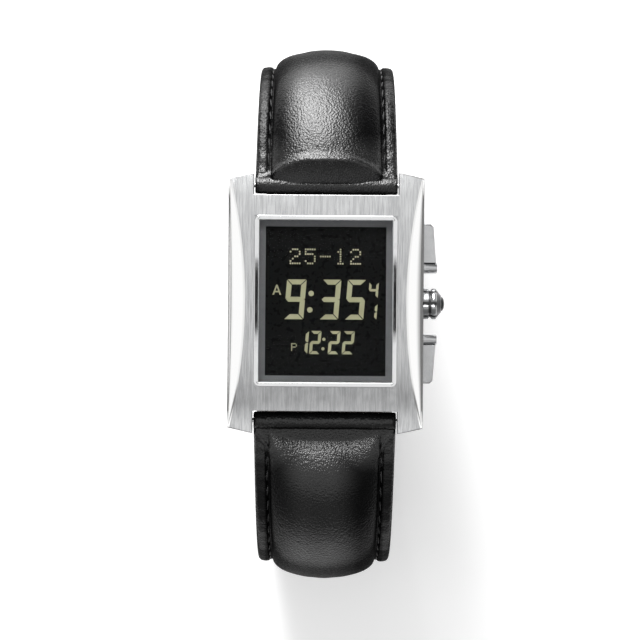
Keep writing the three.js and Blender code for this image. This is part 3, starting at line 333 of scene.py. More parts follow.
class Wiring:
    """A small helper that adds and joins the nodes of one tree."""

    def __init__(self, tree: bpy.types.NodeTree) -> None:
        """Takes the tree that it wires."""
        self.tree = tree

    def node(self, kind: str, **settings: object) -> bpy.types.Node:
        """Adds a node.

        Args:
            kind: The node's type.
            settings: Its properties.

        Returns:
            The node.
        """
        made = self.tree.nodes.new(kind)
        for key, value in settings.items():
            setattr(made, key, value)
        return made

    def link(self, source: Socket, target: Socket) -> None:
        """Joins two sockets."""
        self.tree.links.new(source, target)

    def ranged(self, value: Socket, low: float, high: float, near: float = 0.3,
               far: float = 0.7) -> Socket:
        """Maps a value between near and far to low and high.

        Args:
            value: The value socket.
            low: What near becomes.
            high: What far becomes.
            near: The lower value.
            far: The upper value.

        Returns:
            The mapped value socket.
        """
        made = self.node("ShaderNodeMapRange", interpolation_type="SMOOTHSTEP")
        for socket, number in zip(("From Min", "From Max", "To Min", "To Max"), (near, far, low, high)):
            made.inputs[socket].default_value = number
        self.link(value, made.inputs["Value"])
        return made.outputs["Result"]

    def mixed(self, share: Socket, first: Point | Socket,
              second: Point) -> Socket:
        """Mixes two colours.

        Args:
            share: How much of the second colour.
            first: The first colour, also as a socket.
            second: The second colour.

        Returns:
            The colour socket.
        """
        made = self.node("ShaderNodeMix", data_type="RGBA")
        if isinstance(first, Socket):
            self.link(first, made.inputs["A"])
        else:
            made.inputs["A"].default_value = (*first, 1.0)
        made.inputs["B"].default_value = (*second, 1.0)
        self.link(share, made.inputs["Factor"])
        return made.outputs["Result"]

    def maths(self, operation: str, *values: Socket | float) -> Socket:
        """One step of arithmetic.

        Args:
            operation: The Math node's operation.
            values: Its inputs, as sockets or numbers.

        Returns:
            The result socket.
        """
        made = self.node("ShaderNodeMath", operation=operation)
        for socket, value in zip(made.inputs, values):
            if isinstance(value, (int, float)):
                socket.default_value = value
            else:
                self.link(value, socket)
        return made.outputs["Value"]


class Recipe(Wiring):
    """The wiring of one material with a Principled surface."""

    def __init__(self, name: str) -> None:
        """Starts the material.

        Args:
            name: The material's name.
        """
        self.material = bpy.data.materials.new(name)
        self.material.use_nodes = True
        super().__init__(self.material.node_tree)
        self.surface = self.tree.nodes["Principled BSDF"]
        self.place = self.node("ShaderNodeTexCoord").outputs["Object"]

    def parts(self) -> bpy.types.NodeOutputs:
        """The object's own place, as outputs named X, Y and Z.

        Returns:
            The node's outputs.
        """
        made = self.node("ShaderNodeSeparateXYZ")
        self.link(self.place, made.inputs["Vector"])
        return made.outputs

    def stretched(self, scale: Point) -> Socket:
        """The object's own place, stretched along its axes.

        Args:
            scale: Waves per metre along X, Y and Z.

        Returns:
            The vector socket.
        """
        mapping = self.node("ShaderNodeMapping")
        mapping.inputs["Scale"].default_value = scale
        self.link(self.place, mapping.inputs["Vector"])
        return mapping.outputs["Vector"]

    def grain(self, scale: Point, detail: float = 3.0, roughness: float = 0.55) -> Socket:
        """Noise at the given waves per metre.

        Args:
            scale: Waves per metre along X, Y and Z.
            detail: Octaves of noise.
            roughness: How strong the finer octaves are.

        Returns:
            A value socket from 0 to 1.
        """
        made = self.node("ShaderNodeTexNoise")
        made.inputs["Scale"].default_value = 1.0
        made.inputs["Detail"].default_value = detail
        made.inputs["Roughness"].default_value = roughness
        self.link(self.stretched(scale), made.inputs["Vector"])
        return made.outputs["Fac"]

    def pebbles(self, waves: float) -> Socket:
        """Rounded pebbles with creases between them, as in leather.

        Args:
            waves: Pebbles per metre.

        Returns:
            A value socket, low in the creases.
        """
        made = self.node("ShaderNodeTexVoronoi", feature="SMOOTH_F1")
        made.inputs["Scale"].default_value = 1.0
        made.inputs["Smoothness"].default_value = 0.35
        self.link(self.stretched((waves, waves, waves)), made.inputs["Vector"])
        return made.outputs["Distance"]

    def relief(self, height: Socket, depth: float, strength: float | Socket = 1.0,
               under: Socket | None = None) -> Socket:
        """Turns a height into relief.

        Args:
            height: The height socket.
            depth: How deep it is, in millimetres.
            strength: How much of it shows, as a number or a socket.
            under: The normal of another relief below it.

        Returns:
            The normal socket.
        """
        made = self.node("ShaderNodeBump")
        made.inputs["Distance"].default_value = depth * MILLIMETRE
        if isinstance(strength, (int, float)):
            made.inputs["Strength"].default_value = strength
        else:
            self.link(strength, made.inputs["Strength"])
        self.link(height, made.inputs["Height"])
        if under is not None:
            self.link(under, made.inputs["Normal"])
        return made.outputs["Normal"]

    def set(self, **values: object) -> None:
        """Sets the surface's sockets; a socket is linked, and anything else is its value.

        Args:
            values: Socket names with underscores for spaces.
        """
        for key, value in values.items():
            socket = self.surface.inputs[key.replace("_", " ")]
            if isinstance(value, Socket):
                self.link(value, socket)
            else:
                socket.default_value = (*value, 1.0) if isinstance(value, tuple) else value


@dataclass(frozen=True)
class Metal:
    """Steel or plated metal, with fine grain along one way and small scratches."""

    name: str
    colour: Point
    worn: Point
    roughness: float
    spread: float = 0.06
    grain_waves: Point = (5200.0, 160.0, 5200.0)
    grain_depth: float = 0.0012
    blotches: float = 260.0

    def build(self) -> Material:
        """Makes the material.

        Returns:
            The material.
        """
        recipe = Recipe(self.name)
        grain = recipe.grain(self.grain_waves, 2.0)
        cloud = recipe.grain((self.blotches,) * 3, 4.0)
        recipe.set(
            Metallic=1.0,
            Base_Color=recipe.mixed(recipe.ranged(cloud, 0.0, 1.0), self.colour, self.worn),
            Roughness=recipe.ranged(grain, self.roughness - self.spread, self.roughness + self.spread),
            Normal=recipe.relief(grain, self.grain_depth),
        )
        return recipe.material


@dataclass(frozen=True)
class CaseSteel:
    """Steel brushed lengthways on the top plate and polished on the side facets."""

    name: str = "case_steel"
    plate: Point = (0.5, 0.505, 0.51)
    plate_streak: Point = (0.66, 0.665, 0.67)
    facet: Point = (0.93, 0.93, 0.925)
    plate_roughness: float = 0.23
    facet_roughness: float = 0.07
    waist_half: float = 13.55
    corner_half: float = 16.3
    half_length: float = 22.0
    line_width: float = 0.03
    fine_waves: Point = (9000.0, 260.0, 2600.0)
    coarse_waves: Point = (2600.0, 90.0, 900.0)
    fine_share: float = 0.55
    streak_range: Flat = (0.38, 0.62)
    smudge_waves: float = 420.0
    smudge_spread: float = 0.03
    brush_depth: float = 0.004
    brush_strength: float = 0.5

    def build(self) -> Material:
        """Makes the material.

        Returns:
            The material.
        """
        recipe = Recipe(self.name)
        facet = self.facet_mask(recipe)
        plate = recipe.maths("SUBTRACT", 1.0, facet)
        fine = recipe.grain(self.fine_waves, 2.0)
        coarse = recipe.maths("MULTIPLY", recipe.grain(self.coarse_waves, 2.0), 1.0 - self.fine_share)
        streaks = recipe.maths("MULTIPLY_ADD", fine, self.fine_share, coarse)
        streaked = recipe.ranged(streaks, 0.0, 1.0, *self.streak_range)
        smudge = recipe.grain((self.smudge_waves,) * 3)
        brushed = recipe.ranged(smudge, self.plate_roughness - self.smudge_spread,
                                self.plate_roughness + self.smudge_spread)
        rough = recipe.maths(
            "ADD",
            recipe.maths("MULTIPLY", brushed, plate),
            recipe.maths("MULTIPLY", facet, self.facet_roughness),
        )
        shown = recipe.maths("MULTIPLY", plate, self.brush_strength)
        recipe.set(
            Metallic=1.0,
            Base_Color=recipe.mixed(facet, recipe.mixed(streaked, self.plate, self.plate_streak), self.facet),
            Roughness=rough,
            Normal=recipe.relief(streaks, self.brush_depth, shown),
        )
        return recipe.material

    def facet_mask(self, recipe: Recipe) -> Socket:
        """Tells the polished facets from the brushed plate by where they lie.

        Args:
            recipe: The material's recipe.

        Returns:
            A value socket: 1 on the facets and 0 on the plate.
        """
        parts = recipe.parts()
        across = recipe.maths("ABSOLUTE", parts["X"])
        share = recipe.maths("DIVIDE", parts["Y"], self.half_length * MILLIMETRE)
        growth = (self.corner_half - self.waist_half) * MILLIMETRE
        edge = recipe.maths("MULTIPLY_ADD", recipe.maths("MULTIPLY", share, share), growth,
                            self.waist_half * MILLIMETRE)
        past = recipe.maths("SUBTRACT", across, edge)
        return recipe.ranged(past, 0.0, 1.0, 0.0, self.line_width * MILLIMETRE)


@dataclass(frozen=True)
class Leather:
    """Smooth finished leather with fine creased grain."""

    name: str
    colour: Point
    bloom: Point
    roughness: float
    pebbles: float = 3600.0
    pebble_depth: float = 0.012
    crease_depth: float = 0.03
    sheen: float = 0.0
    specular: float = 0.5
    pore_waves: float = 9000.0
    pore_share: float = 0.4
    fold_waves: Point = (700.0, 1500.0, 1500.0)
    cloud_waves: float = 130.0
    grazing_gloss: Flat = (0.36, 0.66)
    grazing_dulled: float = 0.1
    grazing_rough: Flat = (0.45, 0.75)
    grazing_roughness: float = 0.3
    dome_middle: float = -1.2
    dome_fade: Flat = (2.0, 7.8)
    dome_least: float = 0.12
    edge_fade: Flat = (9.7, 10.3)
    edge_most: float = 0.4
    case_fade: Flat = (24.0, 30.0)

    def build(self) -> Material:
        """Makes the material.

        Returns:
            The material.
        """
        recipe = Recipe(self.name)
        pebbles = recipe.pebbles(self.pebbles)
        pores = recipe.grain((self.pore_waves,) * 3, 2.0)
        height = recipe.maths("MULTIPLY_ADD", pores, self.pore_share, pebbles)
        cloud = recipe.grain((self.cloud_waves,) * 3, 4.0)
        folds = recipe.relief(recipe.grain(self.fold_waves), self.crease_depth)
        edge = recipe.node("ShaderNodeLayerWeight").outputs["Facing"]
        gloss = recipe.ranged(edge, self.specular, self.specular * self.grazing_dulled, *self.grazing_gloss)
        rough = recipe.ranged(pebbles, self.roughness - 0.05, self.roughness + 0.1, 0.1, 0.7)
        grazing = recipe.ranged(edge, 0.0, self.grazing_roughness, *self.grazing_rough)
        recipe.set(
            Base_Color=recipe.mixed(recipe.ranged(cloud, 0.0, 1.0), self.colour, self.bloom),
            Roughness=recipe.maths("ADD", rough, grazing),
            Specular_IOR_Level=recipe.maths("MULTIPLY", gloss, self.polish(recipe)),
            Sheen_Weight=self.sheen,
            Normal=recipe.relief(height, self.pebble_depth, 1.0, folds),
        )
        return recipe.material

    def polish(self, recipe: Recipe) -> Socket:
        """Masks what wear has polished: the dome's middle, the strap's edges and the leather by the case.

        Args:
            recipe: The material that is being made.

        Returns:
            A value socket, 1 where the leather is most polished.
        """
        parts = recipe.parts()
        across, along = (recipe.maths("ABSOLUTE", parts[axis]) for axis in "XY")
        middle = recipe.maths("ABSOLUTE", recipe.maths("SUBTRACT", parts["X"], self.dome_middle * MILLIMETRE))
        dome, edge, near = (
            recipe.ranged(place, start, end, *(stop * MILLIMETRE for stop in fade))
            for place, start, end, fade in (
                (middle, 1.0, self.dome_least, self.dome_fade),
                (across, 0.0, self.edge_most, self.edge_fade),
                (along, 1.0, 0.0, self.case_fade),
            )
        )
        return recipe.maths("MAXIMUM", near, recipe.maths("MAXIMUM", dome, edge))


@dataclass(frozen=True)
class Moulded:
    """Moulded plastic, rubber, board or ceramic with fine surface texture."""

    name: str
    colour: Point
    second: Point
    roughness: float
    waves: float = 3000.0
    depth: float = 0.004
    specular: float = 0.5

    def build(self) -> Material:
        """Makes the material.

        Returns:
            The material.
        """
        recipe = Recipe(self.name)
        texture = recipe.grain((self.waves,) * 3, 3.0)
        cloud = recipe.grain((self.waves / 8,) * 3, 3.0)
        recipe.set(
            Base_Color=recipe.mixed(recipe.ranged(cloud, 0.0, 1.0), self.colour, self.second),
            Roughness=recipe.ranged(texture, self.roughness - 0.05, self.roughness + 0.05),
            Specular_IOR_Level=self.specular,
            Normal=recipe.relief(texture, self.depth),
        )
        return recipe.material


@dataclass(frozen=True)
class Thread:
    """Waxed sewing thread, twisted along its length."""

    name: str
    colour: Point
    shade: Point
    roughness: float = 0.5
    twist: float = 5200.0

    def build(self) -> Material:
        """Makes the material.

        Returns:
            The material.
        """
        recipe = Recipe(self.name)
        waves = recipe.node("ShaderNodeTexWave", bands_direction="DIAGONAL")
        waves.inputs["Scale"].default_value = 1.0
        waves.inputs["Distortion"].default_value = 1.5
        recipe.link(recipe.stretched((self.twist,) * 3), waves.inputs["Vector"])
        twist = waves.outputs["Fac"]
        recipe.set(
            Base_Color=recipe.mixed(recipe.ranged(twist, 0.0, 1.0, 0.2, 0.8), self.shade, self.colour),
            Roughness=recipe.ranged(twist, self.roughness + 0.1, self.roughness - 0.1, 0.2, 0.8),
            Normal=recipe.relief(twist, 0.02),
        )
        return recipe.material


@dataclass(frozen=True)
class ClearGlass:
    """Coated watch glass: clear, with hardly any reflection and faint wipe marks."""

    name: str = "watch_glass"
    tint: Point = (0.97, 0.98, 0.98)
    wiped: Point = (0.955, 0.965, 0.965)
    specular: float = 0.12

    def build(self) -> Material:
        """Makes the material.

        Returns:
            The material.
        """
        recipe = Recipe(self.name)
        wipes = recipe.grain((900.0, 260.0, 900.0), 3.0)
        recipe.set(
            Base_Color=recipe.mixed(recipe.ranged(wipes, 0.0, 1.0), self.tint, self.wiped),
            Transmission_Weight=1.0,
            IOR=1.05,
            Specular_IOR_Level=self.specular,
            Roughness=0.0,
        )
        return recipe.material


class Slot(Enum):
    """The record's material slots."""

    BRUSHED_STEEL = "brushed_steel"
    POLISHED_STEEL = "polished_steel"
    SPRING_STEEL = "spring_steel"
    GOLD_PLATE = "gold_plate"
    BLACK_LEATHER = "black_leather"
    LINING_LEATHER = "lining_leather"
    PADDING_FELT = "padding_felt"
    CLEAR_GLASS = "clear_glass"
    DISPLAY_GLASS = "display_glass"
    GREY_FRAME = "grey_frame"
    BLACK_RUBBER = "black_rubber"
    ZEBRA_RUBBER = "zebra_rubber"
    DARK_PLASTIC = "dark_plastic"
    PALE_PLASTIC = "pale_plastic"
    GREEN_BOARD = "green_board"
    CERAMIC = "ceramic"
    BLACK_STONE = "black_stone"


FINISHES = {
    Slot.BRUSHED_STEEL: Metal("brushed_steel", (0.60, 0.605, 0.61), (0.70, 0.70, 0.705), 0.28),
    Slot.POLISHED_STEEL: Metal("polished_steel", (0.84, 0.84, 0.845), (0.78, 0.78, 0.785), 0.09, 0.03,
                               (900.0, 900.0, 900.0), 0.0004),
    Slot.SPRING_STEEL: Metal("spring_steel", (0.50, 0.50, 0.51), (0.42, 0.41, 0.41), 0.3, 0.06,
                             (2400.0, 2400.0, 2400.0), 0.0015),
    Slot.GOLD_PLATE: Metal("gold_plate", (0.86, 0.62, 0.25), (0.78, 0.53, 0.2), 0.22, 0.05,
                           (1800.0, 1800.0, 1800.0), 0.001),
    Slot.BLACK_LEATHER: Leather("black_leather", (0.0015, 0.0015, 0.0016), (0.003, 0.003, 0.0031), 0.22,
                                2900.0, 0.062, 0.02, 0.0, 0.66),
    Slot.LINING_LEATHER: Leather("lining_leather", (0.03, 0.025, 0.021), (0.045, 0.037, 0.03), 0.62,
                                 2400.0, 0.02, 0.02, 0.1, 0.35),
    Slot.PADDING_FELT: Leather("padding_felt", (0.06, 0.055, 0.05), (0.1, 0.09, 0.08), 0.9,
                               1500.0, 0.05, 0.05, 0.3, 0.2),
    Slot.CLEAR_GLASS: ClearGlass(),
    Slot.DISPLAY_GLASS: Moulded("display_glass", (0.0022, 0.0022, 0.0025), (0.0025, 0.0025, 0.0028), 0.3,
                                1200.0, 0.0001, 0.08),
    Slot.GREY_FRAME: Moulded("grey_frame", (0.108, 0.108, 0.113), (0.118, 0.118, 0.123), 0.45,
                             9000.0, 0.003, 0.3),
    Slot.BLACK_RUBBER: Moulded("black_rubber", (0.012, 0.012, 0.012), (0.018, 0.018, 0.018), 0.75),
    Slot.ZEBRA_RUBBER: Moulded("zebra_rubber", (0.14, 0.1, 0.13), (0.05, 0.04, 0.05), 0.7, 6000.0),
    Slot.DARK_PLASTIC: Moulded("dark_plastic", (0.014, 0.014, 0.016), (0.02, 0.02, 0.022), 0.5),
    Slot.PALE_PLASTIC: Moulded("pale_plastic", (0.66, 0.67, 0.58), (0.74, 0.74, 0.66), 0.45),
    Slot.GREEN_BOARD: Moulded("green_board", (0.01, 0.09, 0.035), (0.014, 0.12, 0.05), 0.4, 2200.0),
    Slot.CERAMIC: Moulded("ceramic", (0.48, 0.38, 0.25), (0.55, 0.44, 0.3), 0.55),
    Slot.BLACK_STONE: Moulded("black_stone", (0.002, 0.002, 0.0022), (0.004, 0.004, 0.0045), 0.07,
                              500.0, 0.0003, 0.25),
}

# Painted shade: a dark colour for the case walls between the horns.
NOTCH_SHADE_STEEL = Metal("notch_wall_painted_shade", (0.2, 0.2, 0.203), (0.14, 0.14, 0.142), 0.55, 0.05,
                      (4200.0,) * 3, 0.004)
WALL_STEEL = Metal("wall_steel", (0.54, 0.545, 0.55), (0.58, 0.585, 0.59), 0.34, 0.03,
                   (5200.0, 150.0, 5200.0), 0.004)
# Painted shade: a dark colour for the crown's flute valleys, its groove and its cone.
CROWN_SHADE_STEEL = Metal("crown_painted_shade", (0.1, 0.1, 0.102), (0.075, 0.075, 0.077), 0.34, 0.05,
                   (3000.0,) * 3, 0.002)
CROWN_STEEL = Metal("crown_steel", (0.42, 0.425, 0.43), (0.36, 0.365, 0.37), 0.32, 0.05,
                    (2600.0,) * 3, 0.001)
LIP_STEEL = Metal("lip_steel", (0.86, 0.865, 0.87), (0.84, 0.845, 0.85), 0.035, 0.01,
                  (600.0,) * 3, 0.0001)
PUSHER_STEEL = Metal("pusher_steel", (0.56, 0.565, 0.57), (0.48, 0.485, 0.49), 0.2, 0.05,
                     (260.0, 6200.0, 6200.0), 0.002)


class Dresser:
    """Gives pieces their finish and body, and dresses the construction's own nodes."""

    def __init__(self, frame: dict) -> None:
        """Builds each finish once.
        """
        self.nodes: dict[str, Piece] = frame["nodes"]
        self.materials = {slot: finish.build() for slot, finish in FINISHES.items()}
        self.slot_of = {
            entry["node"]: Slot(entry["material_slot"]) for entry in frame["record"]["subparts"]
        }

    def dress(self, piece: Piece, slot: Slot, body: Body, nodes: Sequence[str] = (),
              material: Material | None = None) -> Piece:
        """Finishes one new piece.

        Args:
            piece: The piece, in place.
            slot: The record's slot that it takes its finish from.
            body: The body that it rides on.
            nodes: The construction nodes that it stands for.
            material: A finish other than the slot's own.

        Returns:
            The piece.
        """
        piece.data.materials.clear()
        piece.data.materials.append(material or self.materials[slot])
        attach(piece, body.value)
        if nodes:
            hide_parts(*nodes)
        log.info("%s: %s on %s", piece.name, slot.value, body.value)
        return piece

    def dress_nodes(self) -> None:
        """Gives each construction node that still shows its finish and soft edges."""
        for name, node in sorted(self.nodes.items()):
            slot = self.slot_of[name]
            node.data.materials.clear()
            node.data.materials.append(self.materials[slot])
            if not node.hide_render:
                soften_edges(node, 0.04, 2, 40.0)
                log.info("%s: construction node in %s", name, slot.value)


@dataclass(frozen=True)
class Card:
    """A soft-edged card of even brightness in the studio round the object."""

    direction: Flat
    half: Flat
    soft: float
    level: float
    fade: Flat = (0.025, 0.075)


@dataclass
class Studio:
    """Plain pale floor, soft light from above and the photograph's camera, square over the dial."""

    top: float
    pixels_per_millimetre: float = 5.95
    picture_width: float = 640.0
    dial_at: Flat = (325.5, 303.0)
    distance: float = 900.0
    roll: float = 0.45
    sensor: float = 36.0
    floor_half: float = 3000.0
    floor_colour: Point = (0.86, 0.86, 0.86)
    floor_glow: float = 0.34
    hood_half: Flat = (60.0, 12.5)
    hood_shift: float = 7.5
    hood_corner: float = 10.0
    hood_span: Flat = (2.0, 40.0)
    clip_metres: Flat = (0.01, 20.0)
    key_size: Flat = (110.0, 450.0)
    key_place: Point = (-90.0, 360.0, 225.0)
    key_power: float = 3.1
    fill_size: Flat = (70.0, 450.0)
    fill_place: Point = (0.0, 360.0, 225.0)
    fill_power: float = 0.6
    sky: Sequence[Flat] = ((0.0, 0.3), (0.1, 0.3), (0.5, 0.22), (0.8, 0.3), (0.9, 0.88), (1.0, 0.9))
    cards: Sequence[Card] = (
        Card((0.66, 0.0), (0.37, 0.22), 0.12, 1.05, (-0.14, 0.42)),
        Card((-0.66, 0.0), (0.37, 0.22), 0.12, 1.05),
        Card((0.0, -0.22), (0.8, 0.055), 0.08, 0.2),
        Card((0.0, -0.39), (0.8, 0.06), 0.06, 1.3),
    )
    backdrop: Point = (0.96, 0.96, 0.96)
    flag_place: float = 420.0
    flag_length: float = 900.0
    flag_heights: Flat = (28.0, 52.0)
    flag_tones: Flat = (0.06, 0.15)
    flag_half_thick: float = 3.0
    hood_tone: float = 0.01

    def build(self) -> None:
        """Makes the camera, lights, floor and world."""
        self.camera()
        self.floor()
        self.camera_body()
        self.flags()
        self.lamp("key", self.key_size, self.key_place, self.key_power)
        self.lamp("fill", self.fill_size, self.fill_place, self.fill_power)
        self.world()
        bpy.context.scene.view_settings.view_transform = "Standard"

    def centre(self) -> Flat:
        """The point of the dial plane in the middle of the picture."""
        half = self.picture_width / 2
        return (half - self.dial_at[0]) / self.pixels_per_millimetre, \
            (self.dial_at[1] - half) / self.pixels_per_millimetre

    def camera(self) -> None:
        """Places the camera."""
        data = bpy.data.cameras.new("camera")
        data.sensor_width = self.sensor
        data.lens = self.sensor * self.distance * self.pixels_per_millimetre / self.picture_width
        data.clip_start, data.clip_end = self.clip_metres
        made = bpy.data.objects.new("camera", data)
        x, y = self.centre()
        made.location = Vector((x, y, self.top + self.distance)) * MILLIMETRE
        made.rotation_euler = (0.0, 0.0, radians(self.roll))
        bpy.context.scene.collection.objects.link(made)
        bpy.context.scene.camera = made

    def floor(self) -> None:
        """Lays the pale floor, whose own glow shows to the camera and in metal and glass."""
        half = self.floor_half
        corners = [(-half, -half, 0.0), (half, -half, 0.0), (half, half, 0.0), (-half, half, 0.0)]
        made = mesh_object("floor", (corners, [(0, 1, 2, 3)]))
        recipe = Recipe("pale_floor")
        rays = recipe.node("ShaderNodeLightPath")
        seen = recipe.maths("MAXIMUM", rays.outputs["Is Camera Ray"],
                            recipe.maths("MAXIMUM", rays.outputs["Is Glossy Ray"],
                                         rays.outputs["Is Transmission Ray"]))
        recipe.set(
            Base_Color=self.floor_colour,
            Roughness=0.8,
            Specular_IOR_Level=0.1,
            Emission_Color=(1.0, 1.0, 1.0),
            Emission_Strength=recipe.maths("MULTIPLY", seen, self.floor_glow),
        )
        made.data.materials.append(recipe.material)

    def camera_body(self) -> None:
        """Hangs the dark body of the camera, seen only where polished steel mirrors it."""
        x, y = self.centre()
        y += self.hood_shift
        shape = prism(rounded_outline(*self.hood_half, self.hood_corner, 6), *self.hood_span,
                      lambda a, b, height: (x + a, y + b, self.top + self.distance + height))
        made = mesh_object("camera_body", shape)
        made.data.materials.append(self.mirrored("camera_black", self.hood_tone))

    def flags(self) -> None:
        """Stands a low dark flag at each side, seen only in polished steel, which it edges with grey."""
        half, thick = self.flag_length / 2, self.flag_half_thick
        for side, name, height, tone in zip((-1, 1), ("left", "right"), self.flag_heights, self.flag_tones):
            x = side * self.flag_place
            made = mesh_object(f"flag_{name}", box_shape((x - thick, -half, 0.0), (x + thick, half, height)))
            made.data.materials.append(self.mirrored(f"flag_grey_{name}", tone))

    def mirrored(self, name: str, tone: float) -> Material:
        """A dark finish that shows in reflections only.

        Args:
            name: The material's name.
            tone: How bright it is.

        Returns:
            The material.
        """
        recipe = Recipe(name)
        rays = recipe.node("ShaderNodeLightPath")
        recipe.set(Base_Color=(tone,) * 3, Roughness=0.8, Alpha=rays.outputs["Is Glossy Ray"])
        return recipe.material

    def lamp(self, name: str, size: Flat, place: Point, power: float) -> None:
        """Hangs one soft lamp aimed at the dial.

        Args:
            name: Its name.
            size: Its width and length.
            place: Where it hangs.
            power: Its power in watts.
        """
        data = bpy.data.lights.new(name, "AREA")
        data.shape = "RECTANGLE"
        data.size, data.size_y = size[0] * MILLIMETRE, size[1] * MILLIMETRE
        data.energy = power
        made = bpy.data.objects.new(name, data)
        made.location = Vector(place) * MILLIMETRE
        aim = Vector((0.0, 0.0, self.top)) * MILLIMETRE - made.location
        made.rotation_euler = aim.to_track_quat("-Z", "Y").to_euler()
        bpy.context.scene.collection.objects.link(made)

    def world(self) -> None:
        """Wraps a pale studio round the object: a sky graded by height, and soft cards in front of it."""
        world = bpy.data.worlds.new("studio")
        world.use_nodes = True
        wiring = Wiring(world.node_tree)
        parts = wiring.node("ShaderNodeSeparateXYZ")
        wiring.link(wiring.node("ShaderNodeTexCoord").outputs["Generated"], parts.inputs["Vector"])
        ramp = wiring.node("ShaderNodeValToRGB")
        while len(ramp.color_ramp.elements) < len(self.sky):
            ramp.color_ramp.elements.new(0.5)
        for element, (share, level) in zip(ramp.color_ramp.elements, self.sky):
            element.position = share
            element.color = (level, level, level, 1.0)
        wiring.link(parts.outputs["Z"], ramp.inputs["Fac"])
        colour = ramp.outputs["Color"]
        for card in self.cards:
            sides = (
                self.card_side(wiring, parts.outputs[axis], middle, half, card.soft)
                for axis, middle, half in zip("XY", card.direction, card.half)
            )
            mask = wiring.maths("MULTIPLY", *sides)
            low, high = card.fade
            above = self.card_side(wiring, parts.outputs["Z"], 1.0, 1.0 - (low + high) / 2, high - low)
            colour = wiring.mixed(wiring.maths("MULTIPLY", mask, above), colour, (card.level,) * 3)
        camera_ray = wiring.node("ShaderNodeLightPath").outputs["Is Camera Ray"]
        shown = wiring.mixed(camera_ray, colour, self.backdrop)
        wiring.link(shown, wiring.tree.nodes["Background"].inputs["Color"])
        bpy.context.scene.world = world

    def card_side(self, wiring: Wiring, value: Socket, middle: float, half: float,
                  soft: float) -> Socket:
        """Masks one direction of a card: 1 on the card, and 0 beyond its soft edge."""
        away = wiring.maths("ABSOLUTE", wiring.maths("SUBTRACT", value, middle))
        return wiring.ranged(away, 1.0, 0.0, half - soft / 2, half + soft / 2)


# Case and display


